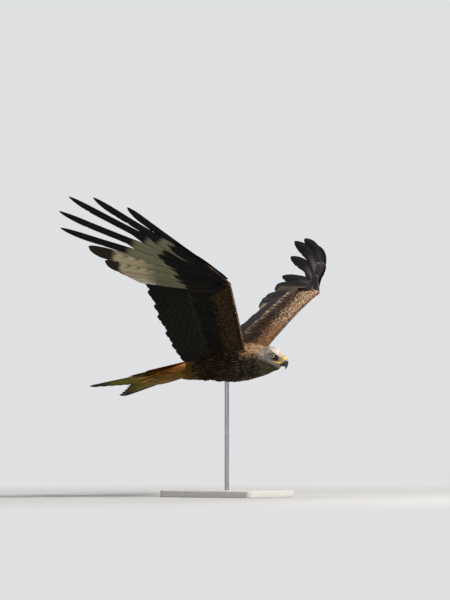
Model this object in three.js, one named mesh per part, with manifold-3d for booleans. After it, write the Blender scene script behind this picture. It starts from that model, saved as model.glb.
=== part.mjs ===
// A red kite in level flight, wings raised and primaries spread, on a plain display stand.
// Millimetres. The bird is built in its own frame: +X towards the bill, +Y to its left, +Z up,
// with the origin in the middle of the body. The stand's underside is at Z = 0.
import * as THREE from "three";
import { mergeVertices } from "three/addons/utils/BufferGeometryUtils.js";
import Module from "manifold-3d";

const wasm = await Module();
wasm.setup();
const { Manifold, Mesh: SolidMesh } = wasm;

const V = (x, y, z) => new THREE.Vector3(x, y, z);
const { lerp, degToRad: radians } = THREE.MathUtils;
const FORWARD = V(1, 0, 0);

// Driving sizes
const GAP = 0.3; // clearance between touching pieces
const BODY_HEIGHT = 365; // middle of the body above the floor
const BELLY_DEPTH = 57; // from there down to the belly over the rod
const BANK = 6.5; // degrees that the right side is raised on the stand
const BANK_AXIS = 34; // degrees from the bird's heading, towards its left, to the axis of the bank

// Outside of the body from the tail root to the inside of the head,
// each station [forward, top, bottom, half width]
const TRUNK = [
  [-128, 6, -33, 20],
  [-100, 15, -37, 30],
  [-60, 28, -41, 41],
  [-20, 41, -50, 49],
  [20, 49, -58, 53],
  [62, 51, -56, 50],
  [93, 46, -51.5, 42],
  [117, 40, -47, 34],
  [140, 33, -41, 27],
  [158, 20, -35.5, 19],
  [174, 4, -29, 11],
];
const WIDEST = 0.48; // part of a section's height at which it is widest
const TAIL_CUT = -98; // where the tail leaves the torso
const NECK_CUT = 84; // where the neck leaves the torso
const HEAD_CUT = 124; // where the head leaves the neck, on its lower side
const HEAD_CUT_LEAN = 20; // degrees that this cut leans forward at its top

// The head has a frame of its own, pitched down, with its origin at the root of the bill
const BILL_ROOT = V(188, 0, -8);
const HEAD_PITCH = 30;
// Stations along the head: [ahead, top, bottom, half width]
const HEAD = [
  [-66, 12, -14, 9],
  [-61, 16, -22, 17],
  [-48, 20, -32, 23],
  [-34, 21, -36, 25.5],
  [-22, 20.5, -34, 24],
  [-12, 19.5, -30, 20],
  [-4, 17.5, -23, 15.5],
  [2, 14.5, -15, 11.5],
];
const EYE = { ahead: -22, aside: 16.5, above: 1.5, radius: 8 };
const LID = { ring: 6.4, thick: 1.9, ahead: 1.2, outward: 4.4, lean: 0.06, turn: 0.28 };
// The bill's pieces down their own curves: [ahead, above, half height, half width]
const CERE = [
  [-8, 2.2, 12.6, 10.8],
  [0, 2.4, 11, 9.2],
  [6, 2.2, 9.2, 7.4],
];
const UPPER_BILL = [
  [1, 2.2, 8.6, 6.8],
  [6.3, 2, 8.5, 6.8],
  [10.6, 0.4, 7.6, 5.8],
  [14.4, -3.2, 5.6, 4.4],
  [17, -8, 3.8, 3.1],
  [18.1, -12.6, 2.1, 1.8],
  [18.4, -17, 0.5, 0.5],
];
const LOWER_BILL = [
  [-8, -9.5, 4.2, 8.4],
  [1, -10.2, 4, 6.6],
  [8, -10.6, 3, 4.8],
  [12.4, -10.8, 1.4, 2.4],
];
const MOUTH = { front: [2, -7.2], corner: [-16, -12], sag: 1.2, depth: 2.4, half: 0.5 };
const NOSTRIL = { ahead: 1.4, above: 4, aside: 9.2, length: 2.4, height: 1.2 };
// The ridge over each eye: [ahead, above, aside, half height]
const BROW = [
  [-40, 13.5, 18.5, 1.5],
  [-32, 12.5, 21, 3.2],
  [-20, 11.6, 20.8, 3.6],
  [-9, 9.4, 15.2, 2.6],
  [-2, 6.5, 11, 1],
];

// Feathers of the hand, outermost first: length from the wrist to the tip
const PRIMARIES = [385, 470, 500, 500, 480, 395, 348, 325, 306, 290];
const FINGERS = 5; // outer primaries that stand apart as fingers
const HAND_LENGTH = 88;
const VANE_HALF = 0.28; // half thickness of a vane
const SHAFT_HALF = 0.7; // and of a finger along its shaft
const ROOT_WIDTH = 0.3; // a vane's width at its root over its full width

// How each wing is held. Places are forward, outward and up; curves are start, pull and end.
// Spread turns a primary from straight out towards the tail, rise lifts it, and bow is how far the
// outermost curves ahead of a straight line, over its length.
const WINGS = {
  right: {
    side: -1,
    leading: [V(95, 46, 23), V(146, 132, 50), V(178, 237, 179)],
    trailing: [V(-117, 52, 7), V(-111, 188, 146), V(-65, 295, 213)],
    spread: [20, 26, 40, 48, 54, 59, 65, 69, 72, 75],
    rise: [28, 26, 26, 22, 18, 15, 11, 10, 9, 8],
    bow: 0.045,
  },
  left: {
    side: 1,
    leading: [V(95, 46, 27), V(130, 157, 146), V(148, 238, 201)],
    trailing: [V(-117, 52, 18), V(-86, 195, 117), V(-78, 330, 200)],
    spread: [36, 39, 42, 43, 46, 51, 58, 62, 65, 67],
    rise: [26, 25, 23, 18, 12, 9.5, 5, 3, 1, 0],
    bow: 0.17,
  },
};
const CAMBER = 0.055; // rise of the wing's middle over its chord
const DROOP = 0.035; // how far a primary bends up along its length, over that length
const PRIMARY_SUNK = 6; // from the bones of the hand to where a primary's vane starts
const PARTING = 2; // from the wrist out to the cut between arm and hand
const CORE_CHORD = 0.36; // part of the chord that flesh and small feathers fill
const CORE_HALF = 8.5; // half thickness of that part

// Rows of feathers on a wing. Widths are of the leading and the trailing vane; heights, at root
// and tip, are above the wing's sheet. On the arm `from` and `to` are parts of the chord and
// `span` is the stretch from body to wrist; on the hand `reach` is a part of a primary's length
// and `span` runs over the primaries.
const SECONDARIES = {
  count: 13, span: [0.035, 0.965], from: 0.2, to: 1, lead: 11, trail: 24, heights: [0, 0], roll: 5,
};
const ARM_COVERTS = [
  { count: 9, span: [0.04, 0.96], from: 0.22, to: 0.58, lead: 14, trail: 25, heights: [3, 4.6], roll: 4 },
  { count: 8, span: [0.06, 0.97], from: 0.12, to: 0.4, lead: 16, trail: 26, heights: [5, 8.4], roll: 4 },
  { count: 8, span: [0.05, 0.96], from: 0.2, to: 0.54, lead: 16, trail: 27, heights: [-4.2, -5], roll: 4 },
];
const HAND_COVERTS = [
  { count: 8, span: [0.3, 8.7], reach: 0.34, lead: 8, trail: 18, heights: [5.4, 5.4], roll: 6 },
  { count: 7, span: [0.5, 8.6], reach: 0.32, lead: 10, trail: 20, heights: [-6, -6], roll: 6 },
];
const ALULA = { feathers: 2, length: 122, shorter: 34, lead: 5, trail: 12, height: 8, roll: 4 };
const PRIMARY = { lead: 13, trail: 27, roll: 7 };
const FINGER = { lead: 10, trail: 24, narrowing: 0.42, from: 0.42, to: 0.6 };

// Tail: places on the bird's own axes, and its rows of feathers as on the wings
const TAIL = {
  root: V(-96, 0, -6),
  centre: V(-306, 0, -47),
  outer: V(-398, 82, -58),
  tilt: 4.8, // degrees that its right edge is raised
  rootHalf: 13, // half width over which the feathers are rooted
};
const TAIL_FEATHERS = { pairs: 6, reach: 1, lead: 12, trail: 17, heights: [0, 0], step: 1.1 };
const TAIL_COVERTS = [
  { pairs: 3, reach: 0.56, lead: 11, trail: 13, heights: [12, 7], step: 1.4 },
  { pairs: 2, reach: 0.64, lead: 13, trail: 15, heights: [-11, -4], step: -1 },
];

// The fleshy root of the tail with its coverts: [forward, top, bottom, half width]
const TAIL_CORE = [
  [-238, -26, -36, 26],
  [-228, -22, -38, 34],
  [-195, -12, -38, 35],
  [-160, -3, -37, 34],
  [-128, 6, -36, 32],
  [-98, 15.5, -37, 30],
  [-80, 21, -39, 34],
];

// Legs, folded back under the vent: places forward, and the levels of the thigh and the foot
const LEG = { aside: 21, hip: 8, heel: -52, ball: -90, claws: -122, thigh: -41, foot: -36 };
const HOLLOW = { width: 12.5, depth: 11 }; // half sizes of the hollow that a foot lies in

// Stand
const BASE = { length: 300, width: 220, height: 18, corner: 16, bevel: 2 };
const ROD = { radius: 6, socket: 22, foot: 10, forward: 6 }; // sunk in the belly and the base

const material = (color, roughness, metalness = 0) =>
  new THREE.MeshStandardMaterial({ color, roughness, metalness });
const MATERIALS = {
  body: material(0x6b4428, 0.85),
  neck: material(0xa58a6c, 0.85),
  head: material(0xc9c3b6, 0.85),
  wing: material(0x3b2f28, 0.8),
  tail: material(0xa8582c, 0.8),
  cere: material(0xe8b92a, 0.5),
  horn: material(0x1d1b1b, 0.35),
  eye: material(0xd8cf9a, 0.1),
  leg: material(0x7a4a2a, 0.85),
  foot: material(0xd9ab2c, 0.6),
  base: material(0xd8d5cf, 0.5),
  rod: material(0xb8bbc0, 0.3, 1),
};

// A closed mesh of points and triangles as a solid, turned right side out if need be.
function solid(points, triangles) {
  let volume = 0;
  for (const [a, b, c] of triangles)
    volume += points[a].dot(points[b].clone().cross(points[c]));
  const facing = volume < 0 ? triangles.map(([a, b, c]) => [a, c, b]) : triangles;
  return new Manifold(
    new SolidMesh({
      numProp: 3,
      vertProperties: new Float32Array(points.flatMap((p) => [p.x, p.y, p.z])),
      triVerts: new Uint32Array(facing.flat()),
    }),
  );
}

// A three.js geometry as a solid.
function solidOf(geometry) {
  const bare = geometry.clone();
  bare.deleteAttribute("normal");
  bare.deleteAttribute("uv");
  const merged = mergeVertices(bare, 1e-3);
  const at = merged.getAttribute("position");
  const points = Array.from({ length: at.count }, (_, i) => V().fromBufferAttribute(at, i));
  const index = merged.index.array;
  const triangles = [];
  for (let i = 0; i < index.length; i += 3) {
    const [a, b, c] = [index[i], index[i + 1], index[i + 2]];
    if (a !== b && b !== c && c !== a) triangles.push([a, b, c]);
  }
  return solid(points, triangles);
}

// Rings of equal count joined in order, with a fan over each end.
function loft(rings) {
  const around = rings[0].length;
  const points = rings.flat();
  const triangles = [];
  for (let i = 0; i + 1 < rings.length; i++)
    for (let j = 0; j < around; j++) {
      const a = i * around + j;
      const b = i * around + ((j + 1) % around);
      triangles.push([a, b, b + around], [a, b + around, a + around]);
    }
  const lastStart = points.length - around;
  for (const [start, ring] of [
    [0, rings[0]],
    [lastStart, rings[rings.length - 1]],
  ]) {
    const middle = ring.reduce((sum, p) => sum.add(p), V(0, 0, 0)).divideScalar(around);
    points.push(middle);
    const centre = points.length - 1;
    for (let j = 0; j < around; j++) {
      const a = start + j;
      const b = start + ((j + 1) % around);
      triangles.push(start ? [a, b, centre] : [b, a, centre]);
    }
  }
  return solid(points, triangles);
}

// A sheet with thickness: rows of { at, up, half }, split into triangles alike on both faces.
function slab(rows) {
  const across = rows[0].length;
  const count = rows.length * across;
  const flat = rows.flat();
  const points = [
    ...flat.map((q) => q.at.clone().addScaledVector(q.up, q.half)),
    ...flat.map((q) => q.at.clone().addScaledVector(q.up, -q.half)),
  ];
  const triangles = [];
  for (let i = 0; i + 1 < rows.length; i++)
    for (let j = 0; j + 1 < across; j++) {
      const a = i * across + j;
      const [b, c, d] = [a + 1, a + across + 1, a + across];
      for (const [p, q, r] of [
        [a, b, c],
        [a, c, d],
      ])
        triangles.push([p, q, r], [p + count, r + count, q + count]);
    }
  const edge = [];
  for (let j = 0; j + 1 < across; j++) edge.push(j);
  for (let i = 0; i + 1 < rows.length; i++) edge.push(i * across + across - 1);
  for (let j = across - 1; j > 0; j--) edge.push((rows.length - 1) * across + j);
  for (let i = rows.length - 1; i > 0; i--) edge.push(i * across);
  edge.forEach((a, k) => {
    const b = edge[(k + 1) % edge.length];
    triangles.push([b, a, a + count], [b, a + count, b + count]);
  });
  return solid(points, triangles);
}

// A ring of points round a centre, across and upward its two half axes.
const ellipse = (centre, across, upward, sides) =>
  Array.from({ length: sides }, (_, j) => {
    const angle = (2 * Math.PI * j) / sides;
    return centre
      .clone()
      .addScaledVector(across, Math.cos(angle))
      .addScaledVector(upward, Math.sin(angle));
  });

const fuse = (...pieces) => Manifold.union(pieces.flat());
const largest = (made) =>
  made.decompose().reduce((best, one) => (one.volume() > best.volume() ? one : best));

// The part of a solid ahead of, or behind, a plane through a point.
const ahead = (made, point, normal) => made.trimByPlane(normal.toArray(), point.dot(normal));
const behind = (made, point, normal) => ahead(made, point, normal.clone().negate());

// A quadratic curve from start to end, drawn towards pull.
function bend([start, pull, end], t) {
  return start
    .clone()
    .multiplyScalar((1 - t) ** 2)
    .addScaledVector(pull, 2 * t * (1 - t))
    .addScaledVector(end, t * t);
}

const tableAt = (table, place) => {
  const i = Math.max(1, table.findIndex((row) => row[0] >= place - 1e-6));
  const [a, b] = [table[i - 1], table[i]];
  return a.map((value, k) => lerp(value, b[k], (place - a[0]) / (b[0] - a[0])));
};
const listAt = (list, place) => {
  const i = Math.min(Math.floor(place), list.length - 2);
  return lerp(list[i], list[i + 1], place - i);
};

// Rings of a table of stations, smoothed along it, in the plane across the forward axis.
function bodyRings(table, grow, steps, sides) {
  const [first, last] = [table[0][0], table[table.length - 1][0]];
  const smooth = (place, width) =>
    [-1, 0, 1]
      .map((k) => tableAt(table, THREE.MathUtils.clamp(place + k * width, first, last)))
      .reduce((sum, row, k) => sum.map((v, n) => v + row[n] * (k === 1 ? 0.5 : 0.25)), [
        0, 0, 0, 0,
      ]);
  return Array.from({ length: steps + 1 }, (_, i) => {
    const forward = lerp(first, last, i / steps);
    const [, top, bottom, half] = smooth(forward, (last - first) / steps);
    const middle = lerp(bottom, top, WIDEST);
    return Array.from({ length: sides }, (_, j) => {
      const angle = (2 * Math.PI * j) / sides;
      const height = (Math.sin(angle) > 0 ? top - middle : middle - bottom) + grow;
      return V(
        forward + (i === 0 ? -grow : 0) + (i === steps ? grow : 0),
        (half + grow) * Math.cos(angle),
        middle + height * Math.sin(angle),
      );
    });
  });
}

const trunk = (grow = 0) => loft(bodyRings(TRUNK, grow, 17, 22));

// From the head's frame to the bird's
const headMatrix = new THREE.Matrix4()
  .makeTranslation(BILL_ROOT)
  .multiply(new THREE.Matrix4().makeRotationY(radians(HEAD_PITCH)));
const intoHead = (p) => p.clone().applyMatrix4(headMatrix);

const skull = () => loft(bodyRings(HEAD, 0, 12, 20).map((ring) => ring.map(intoHead)));

// Rings square to a curve through the stations of a bill table
function billRings(stations, sides) {
  return stations.map(([x, z, height, width], i) => {
    const next = stations[Math.min(i + 1, stations.length - 1)];
    const last = stations[Math.max(i - 1, 0)];
    const along = V(next[0] - last[0], 0, next[1] - last[1]).normalize();
    const upward = V(-along.z, 0, along.x);
    return Array.from({ length: sides }, (_, j) => {
      const angle = (2 * Math.PI * (j + 0.5)) / sides;
      return intoHead(
        V(x, width * Math.cos(angle), z).addScaledVector(upward, height * Math.sin(angle)),
      );
    });
  });
}
const eyePlace = (side) => V(EYE.ahead, side * EYE.aside, EYE.above);

// An eyeball, or with a clearance the hollow that it sits in
function eye(side, grow = 0) {
  const { x, y, z } = eyePlace(side);
  return solidOf(
    new THREE.SphereGeometry(EYE.radius + grow, 12, 9)
      .rotateX(Math.PI / 2)
      .translate(x, y, z)
      .applyMatrix4(headMatrix),
  );
}

// The lids are one thick ring round the front of the eye
function lids(side) {
  const { x, y, z } = eyePlace(side).add(V(LID.ahead, side * LID.outward, 0));
  const turn = new THREE.Euler(Math.PI / 2 - side * LID.lean, 0, -side * LID.turn);
  return solidOf(
    new THREE.TorusGeometry(LID.ring, LID.thick, 5, 12)
      .applyMatrix4(new THREE.Matrix4().makeRotationFromEuler(turn))
      .translate(x, y, z)
      .applyMatrix4(headMatrix),
  );
}

// The ridge that shades each eye, half as wide again as it is high
function browRidge(side) {
  return loft(
    BROW.map(([x, z, aside, half]) =>
      ellipse(V(x, side * aside, z), V(0, side * 1.5 * half, 0), V(0, 0, half), 6).map(intoHead),
    ),
  );
}

// How far out the skull reaches at a place on its side
function cheek(x, z) {
  const [, top, bottom, half] = tableAt(HEAD, Math.min(x, HEAD[HEAD.length - 1][0]));
  const middle = lerp(bottom, top, WIDEST);
  const height = z > middle ? top - middle : middle - bottom;
  return half * Math.sqrt(Math.max(0.1, 1 - ((z - middle) / height) ** 2));
}

// The line of the mouth behind the bill, cut into the side of the head
function mouthLine(side) {
  const { front, corner, sag, depth, half } = MOUTH;
  const up = V(0, 0, 1).transformDirection(headMatrix);
  return slab(
    [0, 0.25, 0.5, 0.75, 1].map((t) => {
      const x = lerp(front[0], corner[0], t);
      const z = lerp(front[1], corner[1], t) - sag * Math.sin(Math.PI * t);
      const outside = cheek(x, z);
      return [outside - depth * (1 - 0.5 * t), outside + 4].map((y) => ({
        at: intoHead(V(x, side * y, z)),
        up,
        half,
      }));
    }),
  );
}

function nostril(side) {
  const { ahead: x, above: z, aside, length, height } = NOSTRIL;
  const along = V(length, 0, 0.4 * length);
  const upward = V(-0.3 * height, 0, height);
  return loft(
    [-3, 0.4, 3].map((reach) =>
      ellipse(V(x, side * (aside + reach), z), along, upward, 8).map(intoHead),
    ),
  );
}

// A piece of the bill from its table, grown by a clearance round it and at its root
const billPiece = (table, sides, grow) =>
  loft(billRings(table.map(([x, z, h, w], i) => [i ? x : x - grow, z, h + grow, w + grow]), sides));
const cere = (grow = 0) => billPiece(CERE, 12, grow);
const upperBill = (grow = 0) => billPiece(UPPER_BILL, 14, grow);
const lowerBill = (grow = 0) => billPiece(LOWER_BILL, 12, grow);

// Wings

// The curved sheet that a wing's feathers lie on, and what is measured on it.
class Wing {
  constructor({ side, leading, trailing, spread, rise, bow }) {
    this.side = side;
    const own = (p) => V(p.x, side * p.y, p.z);
    this.leading = leading.map(own);
    this.trailing = trailing.map(own);
    this.spread = spread;
    this.rise = rise;
    this.bow = bow;
    this.wrist = this.leading[2];
    this.knuckle = this.wrist.clone().addScaledVector(this.heading(0), HAND_LENGTH);
    this.flat = this.square(this.heading(1), this.heading(6));
    this.ahead = this.heading(0).sub(this.heading(9)).normalize();
  }

  // Up, square to two directions on the wing.
  square(a, b) {
    const n = a.clone().cross(b).normalize();
    return n.z < 0 ? n.negate() : n;
  }

  armUp(s) {
    const chord = bend(this.trailing, s).sub(bend(this.leading, s));
    const span = V(0, 0, 0);
    for (const edge of [this.leading, this.trailing])
      span.add(bend(edge, s + 0.05)).sub(bend(edge, s - 0.05));
    return this.square(chord, span);
  }

  // A place on the arm: s from the body to the wrist, c from leading to trailing edge, h above.
  onArm(s, c, h = 0) {
    const front = bend(this.leading, s);
    const back = bend(this.trailing, s);
    const chord = front.distanceTo(back);
    const arch = CAMBER * chord * Math.sin(Math.PI * Math.max(c, 0) ** 0.8);
    return front.lerp(back, c).addScaledVector(this.armUp(s), arch + h);
  }

  // The direction in which primary i points, 0 the outermost.
  heading(i) {
    const [out, up] = [radians(listAt(this.spread, i)), radians(listAt(this.rise, i))];
    return V(
      -Math.sin(out) * Math.cos(up),
      this.side * Math.cos(out) * Math.cos(up),
      Math.sin(up),
    );
  }

  handUp(i) {
    return this.flat.clone().lerp(this.armUp(1), (i / 9) ** 1.5).normalize();
  }

  // A place along primary i, t from its root to its tip, h above it.
  onPrimary(i, t, h = 0) {
    const root = this.knuckle.clone().lerp(this.wrist, i / 9);
    root.addScaledVector(this.heading(i), PRIMARY_SUNK);
    const tip = this.wrist.clone().addScaledVector(this.heading(i), listAt(PRIMARIES, i));
    const length = root.distanceTo(tip);
    const pull = root
      .clone()
      .lerp(tip, 0.5)
      .addScaledVector(this.ahead, this.bow * length * (1 - i / 9) ** 1.5)
      .addScaledVector(this.handUp(i), -DROOP * length);
    return bend([root, pull, tip], t).addScaledVector(this.handUp(i), h);
  }

  // Section of the fleshy front of the wing at a station: arm from 0 to 1, hand from 1 to 2.
  coreRing(station, sides = 10) {
    const i = 9 * (2 - station);
    return Array.from({ length: sides }, (_, j) => {
      const angle = (2 * Math.PI * j) / sides;
      const back = (1 - Math.cos(angle)) / 2;
      const thick = Math.sin(angle) * (1 - 0.45 * back);
      if (station <= 1) {
        const s = Math.max(station, 0);
        return this.onArm(s, CORE_CHORD * back, thick * lerp(CORE_HALF + 3, CORE_HALF, s)).add(
          V(0, this.side * Math.min(station, 0) * 100, 0),
        );
      }
      const q = station - 1;
      return this.knuckle
        .clone()
        .lerp(this.wrist, i / 9)
        .addScaledVector(this.heading(i), lerp(92, 30, q) * back - 6 * q)
        .addScaledVector(this.handUp(i), thick * lerp(CORE_HALF, 4.5, q));
    });
  }

  core() {
    return loft([-0.28, 0, 0.25, 0.5, 0.75, 1, 1.3, 1.65, 2].map((s) => this.coreRing(s)));
  }
}

const SHORT = [0, 0.22, 0.86, 1]; // places along a covert at which its outline turns

// A feather: a thin plate along a path, rolled so that its leading vane lies over its neighbour.
// lead and trail are the widths of its two vanes, shaped along it by outline(t).
function vane({ path, up, toLead, lead, trail, roll, places, ridge = false }) {
  const reach = 0.01;
  const turn = radians(roll);
  return slab(
    places.map((t) => {
      const at = path(t);
      const along = path(t + reach).sub(path(t - reach)).normalize();
      const upward = up.clone().addScaledVector(along, -up.dot(along)).normalize();
      const level = along.clone().cross(upward);
      if (level.dot(toLead) < 0) level.negate();
      const across = level.clone().multiplyScalar(Math.cos(turn)).addScaledVector(upward, Math.sin(turn));
      const face = upward.clone().multiplyScalar(Math.cos(turn)).addScaledVector(level, -Math.sin(turn));
      const place = (width, half) => ({ at: at.clone().addScaledVector(across, width), up: face, half });
      const edges = [place(lead(t), VANE_HALF), place(-trail(t), VANE_HALF)];
      return ridge ? edges.toSpliced(1, 0, place(0, SHAFT_HALF)) : edges;
    }),
  );
}

// Width along a feather: narrow at its root, full from a fifth on, rounded off from `start` to a
// blunt tip.
const rounded = (full, start, tip) => (t) => {
  if (t < start) return full * lerp(ROOT_WIDTH, 1, Math.min(1, Math.max(0, t) / 0.2));
  return full * Math.max(tip, Math.sqrt(Math.max(0, 1 - ((t - start) / (1 - start)) ** 2)));
};

// The ten flight feathers of the hand. The outer five narrow into fingers.
function primaries(wing) {
  return PRIMARIES.map((_, i) => {
    const finger = i < FINGERS;
    const { lead, trail } = finger ? FINGER : PRIMARY;
    const narrow = (t) =>
      finger ? 1 - FINGER.narrowing * THREE.MathUtils.smoothstep(t, FINGER.from, FINGER.to) : 1;
    return vane({
      path: (t) => wing.onPrimary(i, t),
      up: wing.handUp(i),
      toLead: wing.ahead,
      lead: (t) => rounded(lead, 0.82, 0.3)(t) * (finger ? lerp(1, 0.8, t) : 1),
      trail: (t) => rounded(trail, finger ? 0.86 : 0.8, 0.3)(t) * narrow(t),
      roll: PRIMARY.roll,
      places: finger ? [0, 0.2, 0.42, 0.6, 0.8, 0.93, 1] : [0, 0.2, 0.8, 0.94, 1],
      ridge: finger,
    });
  });
}

// A row of feathers on the arm, their tips a little uneven.
function armRow(wing, row, places) {
  const { count, span, from, to, lead, trail, heights, roll } = row;
  return Array.from({ length: count }, (_, n) => {
    const s = lerp(...span, n / (count - 1));
    const uneven = 1 + 0.01 * (((n * 7) % 5) - 2);
    return vane({
      path: (t) => wing.onArm(s, lerp(from, to * uneven, t), lerp(...heights, t)),
      up: wing.armUp(s),
      toLead: V(0, wing.side, 0),
      lead: rounded(lead, 0.8, 0.35),
      trail: rounded(trail, 0.8, 0.35),
      roll,
      places,
    });
  });
}

// A row of coverts along the roots of the primaries, uneven in length.
function handRow(wing, row) {
  const { count, span, reach, lead, trail, heights, roll } = row;
  return Array.from({ length: count }, (_, n) => {
    const i = lerp(...span, n / (count - 1));
    const part = reach * lerp(1, 0.86, ((n * 3) % 4) / 3);
    return vane({
      path: (t) => wing.onPrimary(i, 0.02 + part * t, lerp(...heights, t)),
      up: wing.handUp(i),
      toLead: wing.ahead,
      lead: rounded(lead, 0.75, 0.35),
      trail: rounded(trail, 0.75, 0.35),
      roll,
      places: SHORT,
    });
  });
}

// The short feathers on the front of the hand.
function alula(wing) {
  const { feathers, length, shorter, lead, trail, height, roll } = ALULA;
  return Array.from({ length: feathers }, (_, n) =>
    vane({
      path: (t) =>
        wing.wrist
          .clone()
          .addScaledVector(wing.heading(0), 10 + (length - shorter * n) * t)
          .addScaledVector(wing.heading(9), 3 + 9 * n - 3 * t)
          .addScaledVector(wing.handUp(1), height + 1.5 * n),
      up: wing.handUp(1),
      toLead: wing.ahead,
      lead: rounded(lead, 0.75, 0.35),
      trail: rounded(trail, 0.75, 0.35),
      roll,
      places: SHORT,
    }),
  );
}

// All the vanes of a wing in their tiers, above and below the flight feathers.
const plumage = (wing) => [
  ...primaries(wing),
  ...armRow(wing, SECONDARIES, [0, 0.2, 0.75, 0.94, 1]),
  ...ARM_COVERTS.flatMap((row) => armRow(wing, row, SHORT)),
  ...HAND_COVERTS.flatMap((row) => handRow(wing, row)),
  ...alula(wing),
];

// A whole wing, cut clear of the body and parted at the wrist between its last secondary and
// its first primary.
function wingNodes(wing, clear) {
  const made = fuse(wing.core(), ...plumage(wing)).subtract(clear);
  const along = wing.heading(9).add(bend(wing.trailing, 1).sub(wing.wrist).normalize());
  const outward = along.clone().cross(wing.armUp(1)).normalize();
  if (outward.y * wing.side < 0) outward.negate();
  const inner = wing.wrist.clone().addScaledVector(outward, PARTING - GAP / 2);
  const outer = inner.clone().addScaledVector(outward, GAP);
  return { arm: behind(made, inner, outward), hand: ahead(made, outer, outward) };
}

// Tail

const tailTurn = new THREE.Matrix4()
  .makeTranslation(TAIL.root)
  .multiply(new THREE.Matrix4().makeRotationX(radians(-TAIL.tilt)))
  .multiply(new THREE.Matrix4().makeTranslation(TAIL.root.clone().negate()));

// A place along tail feather k, from -1 at the right edge to 1 at the left.
function onTail(k, t, h = 0) {
  const root = V(TAIL.root.x, TAIL.rootHalf * k, TAIL.root.z);
  const tip = TAIL.centre
    .clone()
    .lerp(V(TAIL.outer.x, TAIL.outer.y * Math.sign(k), TAIL.outer.z), Math.abs(k));
  tip.x = lerp(TAIL.centre.x, TAIL.outer.x, Math.abs(k) ** 1.25);
  const pull = root.clone().lerp(tip, 0.45).add(V(0, 9 * k, 0));
  return bend([root, pull, tip], t).add(V(0, 0, h)).applyMatrix4(tailTurn);
}
const tailUp = V(0, 0, 1).transformDirection(tailTurn);

const tailCore = () =>
  loft(bodyRings(TAIL_CORE, 0, 6, 12).map((ring) => ring.map((p) => p.applyMatrix4(tailTurn))));

// A row of tail feathers or coverts, each pair outward lying under the one before it.
function tailRow({ pairs, reach, lead, trail, heights, step }, places) {
  return Array.from({ length: 2 * pairs }, (_, n) => {
    const side = n % 2 ? 1 : -1;
    const pair = Math.floor(n / 2);
    const k = (side * (pair + 0.5)) / pairs;
    const raised = step * (pairs - 1 - pair);
    return vane({
      path: (t) => onTail(k, reach * t, lerp(...heights, t) + raised),
      up: tailUp,
      toLead: V(0, side, 0),
      lead: rounded(lead, 0.84, 0.35),
      trail: rounded(trail, 0.84, 0.35),
      roll: 0,
      places,
    });
  });
}

const tailPlumage = () => [
  ...tailRow(TAIL_FEATHERS, [0, 0.4, 0.75, 0.93, 1]),
  ...TAIL_COVERTS.flatMap((row) => tailRow(row, [0, 0.5, 0.88, 1])),
];

// Legs

// A tapered tube through points, with a radius at each.
function tube(points, radii, sides = 8) {
  return loft(
    points.map((p, i) => {
      const along = points[Math.min(i + 1, points.length - 1)]
        .clone()
        .sub(points[Math.max(i - 1, 0)])
        .normalize();
      const across = V(0, 0, 1).cross(along).normalize();
      const upward = along.clone().cross(across);
      return ellipse(p, across.multiplyScalar(radii[i]), upward.multiplyScalar(radii[i]), sides);
    }),
  );
}

function leg(side) {
  const { aside, hip, heel, thigh } = LEG;
  const y = side * aside;
  const joints = [
    V(hip, y, thigh + 8),
    V(hip - 14, y, thigh + 3),
    V(hip - 34, y, thigh),
    V(heel + 8, y, thigh),
    V(heel - 2, y - side * 2, thigh + 1),
  ];
  return ahead(tube(joints, [8, 10.5, 9.5, 6.5, 4.2], 10), V(heel, 0, 0), FORWARD);
}

// The hollow among the feathers of the belly in which a foot lies
function footHollow(side) {
  const { aside, heel, claws, foot: level } = LEG;
  const stations = [
    [heel + 4, 0.7],
    [heel - 12, 0.85],
    [lerp(heel, claws, 0.5), 0.95],
    [claws + 12, 1],
    [claws - 10, 0.6],
  ];
  return loft(
    stations.map(([x, size]) =>
      ellipse(
        V(x, side * (aside - 3), level - 2),
        V(0, HOLLOW.width * size, 0),
        V(0, 0, HOLLOW.depth * size),
        12,
      ),
    ),
  );
}

function foot(side) {
  const { aside, heel, ball: joint, claws, foot: level } = LEG;
  const y = side * (aside - 3);
  const ball = V(joint, y, level + 1);
  const shank = tube([V(heel + 2, side * (aside - 2), LEG.thigh + 1), ball], [3.2, 3.6], 8);
  const toes = [-7, 0, 7].map((spread) =>
    tube(
      [
        V(joint + 3, y + spread * 0.3, level + 1),
        V(joint - 9, y + spread, level + 0.5),
        V(claws + 9, y + spread * 0.9, level),
        V(claws + 2, y + spread * 0.8, level - 0.8),
        V(claws - 2, y + spread * 0.75, level - 5),
      ],
      [3, 2.7, 2.3, 1.6, 0.4],
      6,
    ),
  );
  const hind = tube(
    [V(joint + 2, y, level), V(joint + 5, y, level - 3), V(joint - 3, y, level - 7)],
    [2.6, 2.3, 0.5],
    6,
  );
  return behind(fuse(shank, ...toes, hind), V(heel - GAP, 0, 0), FORWARD);
}

// Stand

// The rod between two heights, or with a clearance the hole that it stands in
function rod(grow, bottom, top) {
  return new THREE.CylinderGeometry(ROD.radius + grow, ROD.radius + grow, top - bottom, 20)
    .rotateX(Math.PI / 2)
    .translate(0, 0, (bottom + top) / 2);
}

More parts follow.
